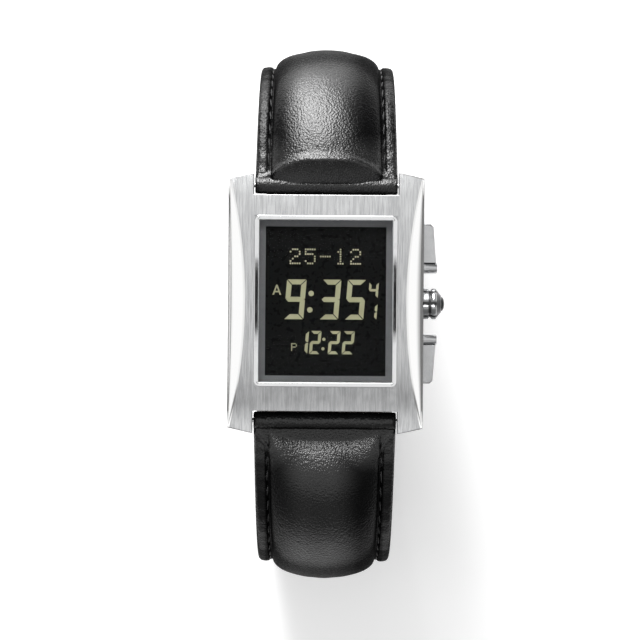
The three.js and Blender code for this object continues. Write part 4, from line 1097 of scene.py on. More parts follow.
@dataclass
class Case:
    """Steel case body: a brushed plate that bends down to four horns, between two polished facets."""

    level: float
    length: float = 44.0
    width: float = 33.0
    height: float = 9.2
    edge_arch: float = 1.0
    horn_bend: float = 1.5
    waist_half: float = 13.55
    corner_half: float = 16.3
    facet_slope: float = 0.55
    horn_gap: float = 24.5
    notch_wall: float = 18.2
    low: float = 1.0
    low_rise: float = 2.0
    low_inset: float = 0.9
    rim: float = 0.14
    notch_rim: float = 0.07
    window_shift: float = 0.3
    lip_half: Flat = (12.05, 14.45)
    glass_half: Flat = (11.3, 13.7)
    cavity_half: Flat = (10.7, 13.1)
    lip_seat: float = 7.6
    shelf: float = 7.23
    stem_level: float = 4.8
    pusher_pocket: Point = (15.0, 4.9, 13.3)
    pocket_half_height: float = 1.7
    crown_pocket: Flat = (15.2, 2.75)
    bar_across: float = 19.9
    bar_level: float = 3.0
    pin_hole: float = 0.48
    overrun: float = 1.0
    columns: tuple[int, int] = (8, 10)
    rows: int = 72
    sharp_angle: float = 25.0
    upright: float = 0.3
    slack: float = 0.02
    wall_reach: float = 1.3
    pin_span: Flat = (-0.05, 1.8)

    def build(self, dresser: Dresser) -> None:
        """Makes and dresses the case body.

        Args:
            dresser: Finishes the piece.
        """
        piece = mesh_object("case_shell", self.blank(), self.sharp_angle)
        cut_away(piece, [self.window_well(), self.crown_well(), *self.notches(), *self.pusher_wells()])
        cut_away(piece, [*self.notch_rims(), *self.pin_holes()])
        piece.data.shade_smooth()
        piece.data.set_sharp_from_angle(angle=radians(self.sharp_angle))
        dresser.dress(piece, Slot.BRUSHED_STEEL, Body.WATCH, ["case_body"], CaseSteel().build())
        self.paint_notch_shade_and_brush_walls(piece)

    def paint_notch_shade_and_brush_walls(self, piece: Piece) -> None:
        """Paints the walls between the horns dark, as painted shade, and gives the outer walls a brushed
        finish.

        Args:
            piece: The case.
        """
        piece.data.materials.append(NOTCH_SHADE_STEEL.build())
        piece.data.materials.append(WALL_STEEL.build())
        for face in piece.data.polygons:
            x, y, _ = (abs(part) / MILLIMETRE for part in face.center)
            between = x < self.horn_gap / 2 + self.slack and y > self.notch_wall - self.slack
            outer = x > self.width / 2 - self.wall_reach or y > self.length / 2 - self.wall_reach
            # The walls between the horns take the painted shade; the outer walls are brushed.
            if between and abs(face.normal.z) < self.upright:
                face.material_index = 1
            elif outer and face.normal.z < self.upright:
                face.material_index = 2

    def edge_at(self, x: float) -> float:
        """How far the arched end edge reaches at a place across the case."""
        shape = 1 - (self.horn_gap / self.width) ** 2
        return self.length / 2 - self.edge_arch + self.edge_arch * (1 - (2 * x / self.width) ** 2) / shape

    def plate_half(self, y: float) -> float:
        """Half the width of the brushed plate at a place along the case."""
        return self.waist_half + (self.corner_half - self.waist_half) * (2 * y / self.length) ** 2

    def top_at(self, y: float) -> float:
        """The height of the brushed plate at a place along the case."""
        return self.height - self.horn_bend * abs(2 * y / self.length) ** 3

    def top_point(self, share: float, along: float, on_plate: bool) -> Point:
        """One point of the top face.

        Args:
            share: Place across the plate or the facet, from -1 to 1.
            along: Place along the case, from -1 to 1.
            on_plate: True on the plate and False on a facet.

        Returns:
            The point above the case back's plane.
        """
        inner = self.plate_half(along * self.length / 2)
        half = self.width / 2 - self.rim
        x = share * inner if on_plate else copysign(inner + (half - inner) * abs(share), share)
        y = along * (self.edge_at(x) - self.rim)
        fall = 0.0 if on_plate else self.facet_slope * (self.width / 2 - inner) * share ** 2
        return x, y, self.top_at(y) - fall

    def blank(self) -> Shape:
        """The solid case before anything is cut from it.

        Returns:
            Points and faces.
        """
        facet, plate = self.columns
        across = [(-i / facet, False) for i in range(facet, 0, -1)]
        across += [(-1 + 2 * i / plate, True) for i in range(plate + 1)]
        across += [(i / facet, False) for i in range(1, facet + 1)]
        wide = len(across)
        points = [
            self.top_point(share, -1 + 2 * row / self.rows, on_plate)
            for row in range(self.rows + 1) for share, on_plate in across
        ]
        faces: list[Face] = []
        for row in range(self.rows):
            for column in range(wide - 1):
                a = row * wide + column
                faces.append((a, a + 1, a + wide + 1, a + wide))
        edge = list(range(wide))
        edge += [row * wide + wide - 1 for row in range(1, self.rows + 1)]
        edge += [self.rows * wide + i for i in range(wide - 2, -1, -1)]
        edge += [row * wide for row in range(self.rows - 1, 0, -1)]
        rims = [edge]
        for level in ("rim", "waist", "foot"):
            start = len(points)
            points.extend(self.wall_point(points[index], level) for index in edge)
            rims.append(list(range(start, start + len(edge))))
        for upper, lower in zip(rims, rims[1:]):
            for i in range(len(edge)):
                after = (i + 1) % len(edge)
                faces.append((upper[i], lower[i], lower[after], upper[after]))
        faces.append(tuple(reversed(rims[-1])))
        return [(x, y, z + self.level) for x, y, z in points], faces

    def wall_point(self, top: Point, level: str) -> Point:
        """The wall's point below a point of the top face's edge.

        Args:
            top: The point on the edge.
            level: One of rim, waist and foot, from the top down.

        Returns:
            The point above the case back's plane.
        """
        x, y, z = top
        out_x = self.rim if abs(x) > self.width / 2 - 2 * self.rim else 0.0
        out_y = self.rim if abs(y) > self.edge_at(x) - 2 * self.rim else 0.0
        x, y = x + copysign(out_x, x), y + copysign(out_y, y)
        if level == "rim":
            return x, y, z - self.rim
        if level == "waist":
            return x, y, self.low + self.low_rise
        inset = self.low_inset
        return x * (1 - 2 * inset / self.width), y * (1 - 2 * inset / self.length), self.low

    def window_well(self) -> Shape:
        """The stepped well under the lip ring, the glass and the display."""
        high = self.height + self.overrun
        steps = [
            (self.cavity_half, self.low - self.overrun), (self.cavity_half, self.shelf),
            (self.glass_half, self.shelf), (self.glass_half, self.lip_seat),
            (self.lip_half, self.lip_seat), (self.lip_half, high),
        ]
        rings = []
        for (half_x, half_y), z in steps:
            corners = [(-half_x, -half_y), (half_x, -half_y), (half_x, half_y), (-half_x, half_y)]
            rings.append([(x, y + self.window_shift, z + self.level) for x, y in corners])
        return stacked(rings)

    def crown_well(self) -> Shape:
        """The round pocket that the crown sits in."""
        floor, radius = self.crown_pocket
        return turned([(floor, radius), (self.width, radius)], Axis.X,
                      (0.0, 0.0, self.level + self.stem_level), 72)

    def notches(self) -> list[Shape]:
        """The gaps between the horns, where the strap goes."""
        half, far = self.horn_gap / 2, self.edge_at(0.0) + self.overrun
        low, high = self.level - self.overrun, self.level + self.height + self.overrun
        return [
            box_shape((-half, -far, low), (half, -self.notch_wall, high)),
            box_shape((-half, self.notch_wall, low), (half, far, high)),
        ]

    def pusher_wells(self) -> list[Shape]:
        """The pockets that the pushers slide in."""
        floor, near, far = self.pusher_pocket
        low, high = self.stem_level - self.pocket_half_height, self.stem_level + self.pocket_half_height
        return [
            box_shape((floor, side * near if side > 0 else -far, self.level + low),
                      (self.width, far if side > 0 else -near, self.level + high))
            for side in (1, -1)
        ]

    def notch_rims(self) -> list[Shape]:
        """The slant cut along the top edges of each notch, as a bar of diamond section on the edge."""
        made = []
        half = self.horn_gap / 2
        for side in (1, -1):
            end = self.edge_at(half) + self.overrun
            runs = spaced(end, self.notch_wall, 12)
            path = [(-half, y, (-1.0, 0.0)) for y in runs[:-1]]
            path += [(-half, self.notch_wall, (-1.0, -1.0)), (half, self.notch_wall, (1.0, -1.0))]
            path += [(half, y, (1.0, 0.0)) for y in reversed(runs[:-1])]
            rings = []
            for x, y, (out_x, out_y) in path:
                z = self.top_at(min(y, self.length / 2)) + self.level
                size = self.notch_rim
                rings.append([
                    (x + out_x * size * share, side * (y + out_y * size * share), z + size * lift)
                    for share, lift in ((1, 0), (0, 1), (-1, 0), (0, -1))
                ])
            made.append(stacked(rings))
        return made

    def pin_holes(self) -> list[Shape]:
        """The holes in the horns that hold the spring bars' pins."""
        made = []
        for side in (1, -1):
            for hand in (1, -1):
                ends = [(hand * (self.horn_gap / 2 + reach), self.pin_hole) for reach in self.pin_span]
                made.append(turned(sorted(ends), Axis.X,
                                   (0.0, side * self.bar_across, self.level + self.bar_level), 20))
        return made


@dataclass
class LipRing:
    """Polished steel lip that stands proud of the plate round the glass."""

    level: float
    half: Flat = (12.0, 14.4)
    wall: float = 0.72
    radius: float = 0.85
    low: float = 7.65
    top: float = 9.5
    soft: float = 0.1
    shift: float = 0.3
    inner_soft_share: float = 0.7
    least_radius: float = 0.12
    corner_steps: int = 10

    def build(self, dresser: Dresser) -> None:
        """Makes and dresses the ring.

        Args:
            dresser: Finishes the piece.
        """
        arc = [pi / 2 * i / 5 for i in range(6)]
        outer = [(self.soft * (1 - cos(a)), self.top - self.soft * (1 - sin(a))) for a in arc]
        inner_soft = self.soft * self.inner_soft_share
        inner = [
            (self.wall - inner_soft * (1 - sin(a)), self.top - inner_soft * (1 - cos(a)))
            for a in arc
        ]
        profile = [(0.0, self.low), *outer, *inner, (self.wall, self.low)]
        rings = []
        for inset, z in profile:
            outline = rounded_outline(self.half[0] - inset, self.half[1] - inset,
                                      max(self.radius - inset, self.least_radius), self.corner_steps)
            rings.append([(x, y + self.shift, z + self.level) for x, y in outline])
        piece = mesh_object("lip_ring_polished", stacked(rings, True), 50.0)
        keep_flats(piece)
        dresser.dress(piece, Slot.POLISHED_STEEL, Body.WATCH, ["lip_ring"], LIP_STEEL.build())


@dataclass(frozen=True)
class FigureRow:
    """A row of bar figures of one height: each figure's left and right side, the row's foot and head."""

    figures: str
    sides: Sequence[Flat]
    span: Flat
    stroke: float
    gap: float


class Glyphs:
    """Shapes of the display's figures: seven slanted bars, or a grid of dots."""

    BARS = {"1": "bc", "2": "abged", "3": "abgcd", "4": "fgbc", "5": "afgcd", "9": "abcdfg"}
    DOTS = {
        "1": ("00100", "01100", "00100", "00100", "00100", "00100", "01110"),
        "2": ("01110", "10001", "00001", "00110", "01000", "10000", "11111"),
        "5": ("11111", "10000", "11110", "00001", "00001", "10001", "01110"),
        "-": ("00000", "00000", "00000", "11111", "00000", "00000", "00000"),
        "P": ("11110", "10001", "10001", "11110", "10000", "10000", "10000"),
    }
    A_LEG = (0.75, 0.46, 0.11)
    A_BAR = (0.42, 0.66, 0.5, 0.42)

    @staticmethod
    def bars(figure: str, sides: Flat, row: FigureRow, lean: float) -> list[list[Flat]]:
        """The bars of one figure.

        Args:
            figure: The figure.
            sides: Its left and right side at the foot.
            row: The row that it stands in.
            lean: How far it leans right for each millimetre of height.

        Returns:
            The outline of each bar.
        """
        (left, right), (low, high), stroke, gap = sides, row.span, row.stroke, row.gap
        middle, half = (low + high) / 2, stroke / 2
        start, end = left + gap, right - gap
        made = []
        for bar in Glyphs.BARS[figure]:
            if bar == "g":
                points = [(start, middle), (start + half, middle + half), (end - half, middle + half),
                          (end, middle), (end - half, middle - half), (start + half, middle - half)]
            elif bar in "ad":
                edge, inner = (high, high - stroke) if bar == "a" else (low, low + stroke)
                points = [(start, edge), (end, edge), (end - stroke, inner), (start + stroke, inner)]
            else:
                side, inward = (left, 1) if bar in "fe" else (right, -1)
                tip, up = (high, 1) if bar in "fb" else (low, -1)
                points = [(side, tip - up * gap), (side + inward * stroke, tip - up * (gap + stroke)),
                          (side + inward * stroke, middle + up * (half + gap)),
                          (side + inward * half, middle + up * gap), (side, middle + up * gap)]
            made.append([(px + (py - low) * lean, py) for px, py in points])
        return made

    @staticmethod
    def dots(figure: str, left: float, top: float, pitch: Flat, size: Flat) -> list[list[Flat]]:
        """The dots of one figure.

        Args:
            figure: The figure.
            left: The left side of its first column.
            top: The top of its first row.
            pitch: The distance between dots across and down.
            size: The width and height of a dot.

        Returns:
            The outline of each dot.
        """
        made = []
        for row, marks in enumerate(Glyphs.DOTS[figure]):
            for column, mark in enumerate(marks):
                if mark == "1":
                    x, y = left + column * pitch[0], top - row * pitch[1]
                    made.append([(x, y - size[1]), (x + size[0], y - size[1]), (x + size[0], y), (x, y)])
        return made

    @staticmethod
    def letter_a(x: float, low: float, high: float) -> list[list[Flat]]:
        """The small letter A beside the time: two slanted strokes and a bar.

        Args:
            x: Its middle.
            low: Its foot.
            high: Its head.

        Returns:
            The outline of each stroke.
        """
        foot, inner, head = Glyphs.A_LEG
        bar_low, bar_high, wide, narrow = Glyphs.A_BAR
        legs = [
            [(x + side * foot, low), (x + side * inner, low),
             (x - side * head, high), (x + side * head, high)]
            for side in (1, -1)
        ]
        bar = [(x - wide, low + bar_low), (x + wide, low + bar_low),
               (x + narrow, low + bar_high), (x - narrow, low + bar_high)]
        return [*legs, bar]

    @staticmethod
    def spot(x: float, y: float, radius: float) -> list[Flat]:
        """A round spot of a colon."""
        return [(x + radius * cos(pi * i / 10), y + radius * sin(pi * i / 10))
                for i in range(20)]


@dataclass
class Display:
    """The lit figures of the display, printed just above its upper glass."""

    level: float
    shift: float = 0.3
    figure_low: float = 7.187
    figure_high: float = 7.215
    lean: float = 0.08
    tone: Point = (0.385, 0.375, 0.235)
    tone_shade: Point = (0.34, 0.33, 0.2)
    date_tone: Point = (0.6, 0.57, 0.4)
    rows: Sequence[FigureRow] = (
        FigureRow("935", ((-7.05, -3.75), (-1.05, 2.1), (3.2, 6.35)), (-3.05, 3.65), 0.84, 0.1),
        FigureRow("4", ((7.15, 8.75),), (0.6, 3.25), 0.4, 0.06),
        FigureRow("1", ((6.95, 8.55),), (-3.05, -0.4), 0.4, 0.06),
        FigureRow("1222", ((-4.8, -3.05), (-2.75, -0.95), (0.4, 2.25), (2.75, 4.65)),
                  (-8.9, -5.0), 0.5, 0.07),
    )
    spots: Sequence[Point] = ((-2.45, 1.3, 0.46), (-2.65, -1.46, 0.46),
                              (-0.25, -6.4, 0.27), (-0.4, -8.0, 0.27))
    mark_a: Point = (-8.24, 1.04, 2.73)
    mark_p: Flat = (-5.75, -7.1)
    mark_pitch: Flat = (0.2, 0.19)
    mark_dot: Flat = (0.17, 0.16)
    date: str = "25-12"
    date_corner: Flat = (-6.1, 8.85)
    date_step: float = 2.55
    date_pitch: Flat = (0.385, 0.395)
    date_dot: Flat = (0.25, 0.25)

    def build(self, dresser: Dresser) -> None:
        """Makes and dresses the figures.

        Args:
            dresser: Finishes the pieces.
        """
        figures = Moulded("lit_figures", self.tone, self.tone_shade, 0.5, 2600.0, 0.0005, 0.1).build()
        dates = Moulded("lit_date", self.date_tone, self.tone, 0.5, 2600.0, 0.0005, 0.1).build()
        self.print_out("display_time", self.time_outlines(), figures, dresser)
        self.print_out("display_date", self.date_outlines(), dates, dresser)

    def print_out(self, name: str, outlines: Sequence[Sequence[Flat]], material: Material,
                  dresser: Dresser) -> None:
        """Makes one piece of figures.

        Args:
            name: The piece's name.
            outlines: The outlines of its marks.
            material: Its finish.
            dresser: Gives the piece its finish and body.
        """
        shapes = [
            prism(outline, self.figure_low, self.figure_high,
                  lambda x, y, z: (x, y + self.shift, z + self.level))
            for outline in outlines
        ]
        dresser.dress(mesh_object(name, merged(shapes)), Slot.DISPLAY_GLASS, Body.WATCH, (), material)

    def time_outlines(self) -> list[list[Flat]]:
        """The time with its seconds, the second time below, and the two small marks.

        Returns:
            The outline of each bar, spot and stroke.
        """
        made = [
            bar
            for row in self.rows
            for figure, sides in zip(row.figures, row.sides)
            for bar in Glyphs.bars(figure, sides, row, self.lean)
        ]
        made += [Glyphs.spot(*spot) for spot in self.spots]
        made += Glyphs.letter_a(*self.mark_a)
        return made + Glyphs.dots("P", *self.mark_p, self.mark_pitch, self.mark_dot)

    def date_outlines(self) -> list[list[Flat]]:
        """The date row, as dots.

        Returns:
            The outline of each dot.
        """
        left, top = self.date_corner
        made: list[list[Flat]] = []
        for index, figure in enumerate(self.date):
            made += Glyphs.dots(figure, left + index * self.date_step, top, self.date_pitch, self.date_dot)
        return made


# Strap


@dataclass
class Run:
    """One straight or bent run of the strap's inner face."""

    start: float
    radius: float
    y: float
    z: float
    dip: float

    def along(self, distance: float) -> Point:
        """Where the inner face is at a distance into the run.

        Args:
            distance: How far into the run.

        Returns:
            How far out it is, its height and its dip.
        """
        if isinf(self.radius):
            return (self.y + distance * cos(self.dip), self.z - distance * sin(self.dip), self.dip)
        turned_dip = self.dip + distance / self.radius
        y = self.y + self.radius * (sin(turned_dip) - sin(self.dip))
        z = self.z + self.radius * (cos(turned_dip) - cos(self.dip))
        return y, z, turned_dip


class StrapPath:
    """The inner face of one strap half, as straight runs and bends in the plane across the wrist."""

    def __init__(self, side: int, y: float, z: float, dip: float) -> None:
        """Starts the path at the spring bar.

        Args:
            side: 1 towards 12 o'clock and -1 towards 6 o'clock.
            y: How far out it starts.
            z: The height that it starts at.
            dip: How steeply it starts downwards, in radians.
        """
        self.side = side
        self.runs: list[Run] = []
        self.length = 0.0
        self.pen = (y, z, dip)

    def straight(self, length: float) -> StrapPath:
        """Adds a straight run."""
        return self.bend(inf, length)

    def arc(self, radius: float, degrees: float) -> StrapPath:
        """Adds a bend, inwards for positive degrees."""
        return self.bend(copysign(radius, degrees), radius * radians(abs(degrees)))

    def bend(self, radius: float, length: float) -> StrapPath:
        """Adds a run.

        Args:
            radius: The radius of its inner face, negative where it bends outwards.
            length: Its length.

        Returns:
            The path itself.
        """
        run = Run(self.length, radius, *self.pen)
        self.runs.append(run)
        self.length += length
        self.pen = run.along(length)
        return self

    def point(self, distance: float, x: float, lift: float) -> Point:
        """A point of the strap.

        Args:
            distance: How far along the strap.
            x: How far across it.
            lift: How far out of its inner face.

        Returns:
            The point in the frame.
        """
        run = next(run for run in reversed(self.runs) if run.start <= distance or run is self.runs[0])
        y, z, dip = run.along(distance - run.start)
        return x, self.side * (y + lift * sin(dip)), z + lift * cos(dip)


@dataclass
class StrapLoop:
    """The buckled loop that both strap halves follow, from the spring bars to the buckle."""

    level: float
    bar_across: float = 19.9
    bar_level: float = 3.0
    roll_radius: float = 1.5
    dip: float = 12.0
    bend_radius: float = 18.0
    thickness: float = 2.2
    pad_height: float = 2.9
    reach: Flat = (43.5, 47.2)
    end_inner: float = 6.1
    tail_inner: float = 3.6
    over_buckle: float = 4.5
    buckle_at: float = -5.0
    step_at: float = -17.0
    lower_length: float = 117.5

    def start(self) -> Flat:
        """Where the inner face leaves the spring bar."""
        dip = radians(self.dip)
        return (self.bar_across - self.roll_radius * sin(dip),
                self.level + self.bar_level - self.roll_radius * cos(dip))

    def lead(self, reach: float) -> float:
        """How long the first straight run is.

        Args:
            reach: How far out the half reaches.

        Returns:
            The run's length.
        """
        dip = radians(self.dip)
        inner = reach - self.pad_height - self.thickness
        return (inner - self.start()[0] - self.bend_radius * (1 - sin(dip))) / cos(dip)

    def bend_at(self, reach: float) -> float:
        """How far out the middle of a half's bends lies."""
        return reach - self.pad_height - self.thickness - self.bend_radius

    def upper(self) -> StrapPath:
        """The half at 12 o'clock, which ends round the buckle's bar.

        Returns:
            Its path.
        """
        path = StrapPath(1, *self.start(), radians(self.dip)).straight(self.lead(self.reach[0]))
        path.arc(self.bend_radius, 90 - self.dip).arc(self.bend_radius, 90)
        return path.straight(self.bend_at(self.reach[0]) - self.buckle_at)

    def lower(self) -> StrapPath:
        """The half at 6 o'clock, which passes over the buckle and under the other half.

        Returns:
            Its path.
        """
        dip = radians(self.dip)
        lead = self.lead(self.reach[1])
        drop = (self.start()[1] - self.over_buckle - self.bend_radius * (1 + cos(dip))
                - lead * sin(dip))
        path = StrapPath(-1, *self.start(), dip).straight(lead)
        path.arc(self.bend_radius, 90 - self.dip).straight(drop).arc(self.bend_radius, 90)
        path.straight(self.bend_at(self.reach[1]) + self.step_at)
        step_radius = (self.over_buckle - self.tail_inner) / (2 * (1 - cos(dip)))
        path.arc(step_radius, -self.dip).arc(step_radius, self.dip)
        path.straight(self.bend_at(self.reach[0]) - self.step_at - 2 * step_radius * sin(dip))
        return path.bend(self.bend_radius + self.end_inner - self.tail_inner, self.lower_length - path.length)


@dataclass
class StrapHalf:
    """One half of the strap: a padded outer leather with an end roll, its padding, lining and seams."""

    name: str
    path: StrapPath
    full_until: float
    end: float
    lining_end: float
    nodes: Sequence[str]
    lining_node: str
    roll_at: Flat
    tip_length: float = 0.0
    width: Flat = (24.1, 20.0)
    taper_length: float = 75.0
    thickness: float = 2.2
    lining: float = 1.0
    dome_inset: float = 2.5
    pad_wall: float = 1.1
    pad_height: float = 3.2
    pad_squareness: float = 1.9
    fade: float = 14.0
    foot: Flat = (0.4, -1.0)
    ridge: Flat = (0.8, 3.8)
    arch: Flat = (0.3, 1.05)
    front_curve: float = 1.6
    welt: Flat = (0.6, 0.85)
    flange_ridge: float = 0.4
    bead: float = 0.22
    seam_out: float = 0.4
    seam_groove: float = 0.24
    seam_start: float = 3.2
    stitch_pitch: float = 2.5
    stitch_length: float = 1.75
    thread_radius: float = 0.14
    edge_round: float = 0.55
    lining_start: float = 2.1
    seed: float = 0.0
    eye: Point | None = None
    cuts: list[Shape] = field(default_factory=list)

    def build(self, dresser: Dresser, thread: Material) -> None:
        """Makes and dresses the pieces of this half.

        Args:
            dresser: Finishes the pieces.
            thread: The finish of the stitches.
        """
        layers = [mesh_object(f"strap_{self.name}_skin", self.skin(), 50.0),
                  *(mesh_object("roll", roll, 50.0) for roll in self.rolls())]
        lining = mesh_object(f"strap_{self.name}_inside", self.lining_sheet(), 50.0)
        for piece in (*layers, lining):
            if self.cuts:
                cut_away(piece, self.cuts)
        skin = joined(layers)
        core = mesh_object(f"strap_{self.name}_core", self.core(), 50.0)
        seams = mesh_object(f"strap_{self.name}_stitches", merged(self.stitches()), 60.0)
        dresser.dress(skin, Slot.BLACK_LEATHER, Body.WATCH, [self.nodes[0]])
        dresser.dress(core, Slot.PADDING_FELT, Body.WATCH, [self.nodes[1]])
        dresser.dress(lining, Slot.LINING_LEATHER, Body.WATCH, [self.lining_node])
        dresser.dress(seams, Slot.BLACK_LEATHER, Body.WATCH, (), thread)

    def half_at(self, distance: float) -> float:
        """Half the strap's width, round at the tip.

        Args:
            distance: How far along the strap.

        Returns:
            Half the width there.
        """
        share = min(distance / self.taper_length, 1.0)
        half = (self.width[0] + (self.width[1] - self.width[0]) * share) / 2
        if self.tip_length:
            left = max(self.end - distance, 0.0) / self.tip_length
            if left < 1:
                half = max(half * sqrt(1 - (1 - left) ** 2), 1.9)
        return half

    def seam_at(self, distance: float) -> float:
        """How far out the row of stitches lies."""
        return self.inset_at(distance, self.dome_inset - self.seam_out)

    def dome_at(self, distance: float) -> float:
        """Half the width of the padded dome."""
        return self.inset_at(distance, self.dome_inset)

    def inset_at(self, distance: float, inset: float) -> float:
        """Half the width of the strap's outline moved in, also at the tip.

        Args:
            distance: How far along the strap.
            inset: How far in.

        Returns:
            Half the width there.
        """
        left = self.end - distance
        if not self.tip_length or left >= self.tip_length:
            return self.half_at(distance) - inset
        share = min((self.tip_length - left) / (self.tip_length - inset), 1.0)
        return max((self.half_at(self.end - self.tip_length) - inset) * sqrt(1 - share ** 2), 0.3)

    def arched(self, ends: Flat, x: float) -> float:
        """A distance that goes in an arch across the strap.

        Args:
            ends: The distance at the strap's edges and in its middle.
            x: The place across the strap.

        Returns:
            The distance there.
        """
        low, high = self.arch
        arch = 1 - smooth((2 * abs(x) / self.width[0] - low) / (high - low))
        return ends[0] + (ends[1] - ends[0]) * arch

    def pad(self, distance: float, x: float, half: float) -> float:
        """How far the padding lifts the leather.

        Args:
            distance: How far along the strap.
            x: How far across it.
            half: Half the width of the dome.

        Returns:
            The lift.
        """
        across = min(abs(x) / half, 1.0)
        foot, ridge = self.arched(self.foot, x), self.arched(self.ridge, x)
        share = min(max((distance - foot) / (ridge - foot), 0.0), 1.0)
        rise = 1 - (1 - share) ** self.front_curve
        fade = 1 - smooth((distance - self.full_until) / self.fade)
        crown = (1 - across ** self.pad_squareness) ** (1 / self.pad_squareness)
        return self.pad_height * rise * fade * crown

    def top(self, distance: float, x: float) -> float:
        """The lift of the outer face, with its valley, ridge, seam and small unevenness.

        Args:
            distance: How far along the strap.
            x: How far across it.

        Returns:
            The lift out of the inner face.
        """
        half, dome = self.half_at(distance), self.dome_at(distance)
        pad = self.pad(distance, x, dome)
        out = smooth((abs(x) - dome + 0.6) / 0.6)
        past_ridge = distance - self.arched(self.ridge, x)
        ridge = self.flange_ridge * exp(-(past_ridge / 0.7) ** 2) * out
        height, reach = self.welt
        welt = height * exp(-((past_ridge + 0.35 * reach) / reach) ** 2) * (1 - out)
        phase = 0.5 + 0.5 * cos(2 * pi * (distance - self.seam_start) / self.stitch_pitch)
        sewn = smooth((past_ridge - 0.4) / 0.8)
        left = self.end - distance
        if self.tip_length:
            sewn *= smooth((left - self.tip_length + 3.0) / 3.0)
        beside = abs(x) - self.seam_at(distance)
        groove = self.seam_groove * (0.75 + 0.5 * phase) * exp(-(beside / 0.19) ** 2) * sewn
        across_bead = min(max(beside / max(half - self.seam_at(distance), 0.2), 0.0), 1.0)
        bead = self.bead * (1.2 - 0.5 * phase) * sin(pi * across_bead ** 0.7) * sewn
        edge = (abs(x) - half + self.edge_round) / self.edge_round
        if self.tip_length:
            edge = max(edge, 1 - left / self.edge_round)
        edge = min(max(edge, 0.0), 1.0)
        edge_drop = self.edge_round * (1 - sqrt(1 - edge * edge))
        rumple = noise.noise(Vector((x * 0.35, distance * 0.22, self.seed))) * 0.09
        crinkle = noise.noise(Vector((x * 0.9, distance * 1.4, self.seed + 7))) * 0.035
        soft = (rumple + crinkle) * (0.35 + 0.65 * min(pad, 1.0))
        return self.thickness + pad + ridge + welt - groove + bead - edge_drop + soft

    def across(self, distance: float) -> list[float]:
        """The places across one side of the outer face, from the middle to the edge.

        Args:
            distance: How far along the strap.

        Returns:
            The places.
        """
        half, seam, dome = self.half_at(distance), self.seam_at(distance), self.dome_at(distance)
        places = [dome * sin(pi / 2 * i / 15) for i in range(16)]
        places += [seam + step for step in (-0.27, -0.16, -0.06, 0.06, 0.16, 0.28, 0.45, 0.65)]
        last = places[-1]
        flat_end = max(half - self.edge_round, last + 0.02)
        places += [last + (flat_end - last) * share for share in (0.33, 0.66, 1.0)]
        edge = [flat_end + (half - flat_end) * share for share in (0.3, 0.55, 0.75, 0.9, 1.0)]
        return [min(place, half) for place in places + edge]

    def distances(self, start: float, end: float) -> list[float]:
        """The distances of the rings: close together at the front, and again at the tip.

        Args:
            start: The first distance.
            end: The last distance.

        Returns:
            The distances.
        """
        stops = [(start, 0.2), (6.0, 0.5), (self.full_until + self.fade, 1.3)]
        made = []
        place = start
        while place < end - 0.3:
            made.append(place)
            left = end - place
            step = next(step for stop, step in reversed(stops) if place >= stop or stop == start)
            if self.tip_length and left < self.tip_length:
                step = min(step, max(left * 0.16, 0.12))
            place += step
        return [*made, end]

    def skin(self) -> Shape:
        """The outer leather, hollow under its dome."""
        rings = []
        for distance in self.distances(0.0, self.end):
            side = self.across(distance)
            half, dome = self.half_at(distance), self.dome_at(distance)
            inner = max(dome - self.pad_wall, 0.2)
            row = [(x, self.top(distance, x)) for x in side]
            under = []
            for i in range(7):
                x = inner * sin(pi / 2 * i / 6)
                under.append((x, self.lining + self.pad(distance, x, inner)))
            right = [*row, (half, self.lining + 0.25), (half, self.lining), *reversed(under)]
            left = [(-x, lift) for x, lift in reversed(right)]
            ring = right[:-1] + [(0.0, under[0][1])] + left[1:-1]
            rings.append([self.path.point(distance, x, lift) for x, lift in ring])
        return stacked(rings)

    def core(self) -> Shape:
        """The soft padding under the dome."""
        start = self.ridge[1] + 0.8
        end = self.full_until + self.fade * 0.67
        rings = []
        for distance in spaced(start, end, 60):
            half = self.dome_at(distance) - self.pad_wall - 0.12
            row = []
            for i in range(17):
                x = half * cos(pi * i / 16)
                room = self.pad(distance, x, self.dome_at(distance) - self.pad_wall) - 0.12
                row.append((x, self.lining + max(room, 0.12)))
            low = self.lining + 0.06
            ring = [(half, low), *row[1:-1], (-half, low)]
            rings.append([self.path.point(distance, x, lift) for x, lift in ring])
        return stacked(rings)

    def lining_sheet(self) -> Shape:
        """The lining, soft at its edges and a little uneven."""
        rings = []
        for distance in self.distances(self.lining_start, self.lining_end):
            half = self.half_at(distance)
            face = []
            for share in spaced(-1.0, 1.0, 22):
                x = share * (half - 0.3)
                uneven = noise.noise(Vector((x * 0.3, distance * 0.3, self.seed + 3))) * 0.05
                seam = 0.12 * exp(-((abs(x) - self.seam_at(distance)) / 0.25) ** 2)
                face.append((x, max(uneven, 0.0) * 0.6 + seam))
            ring = [(half, self.lining), (-half, self.lining), (-half, 0.3), *face, (half, 0.3)]
            rings.append([self.path.point(distance, x, lift) for x, lift in ring])
        return stacked(rings)

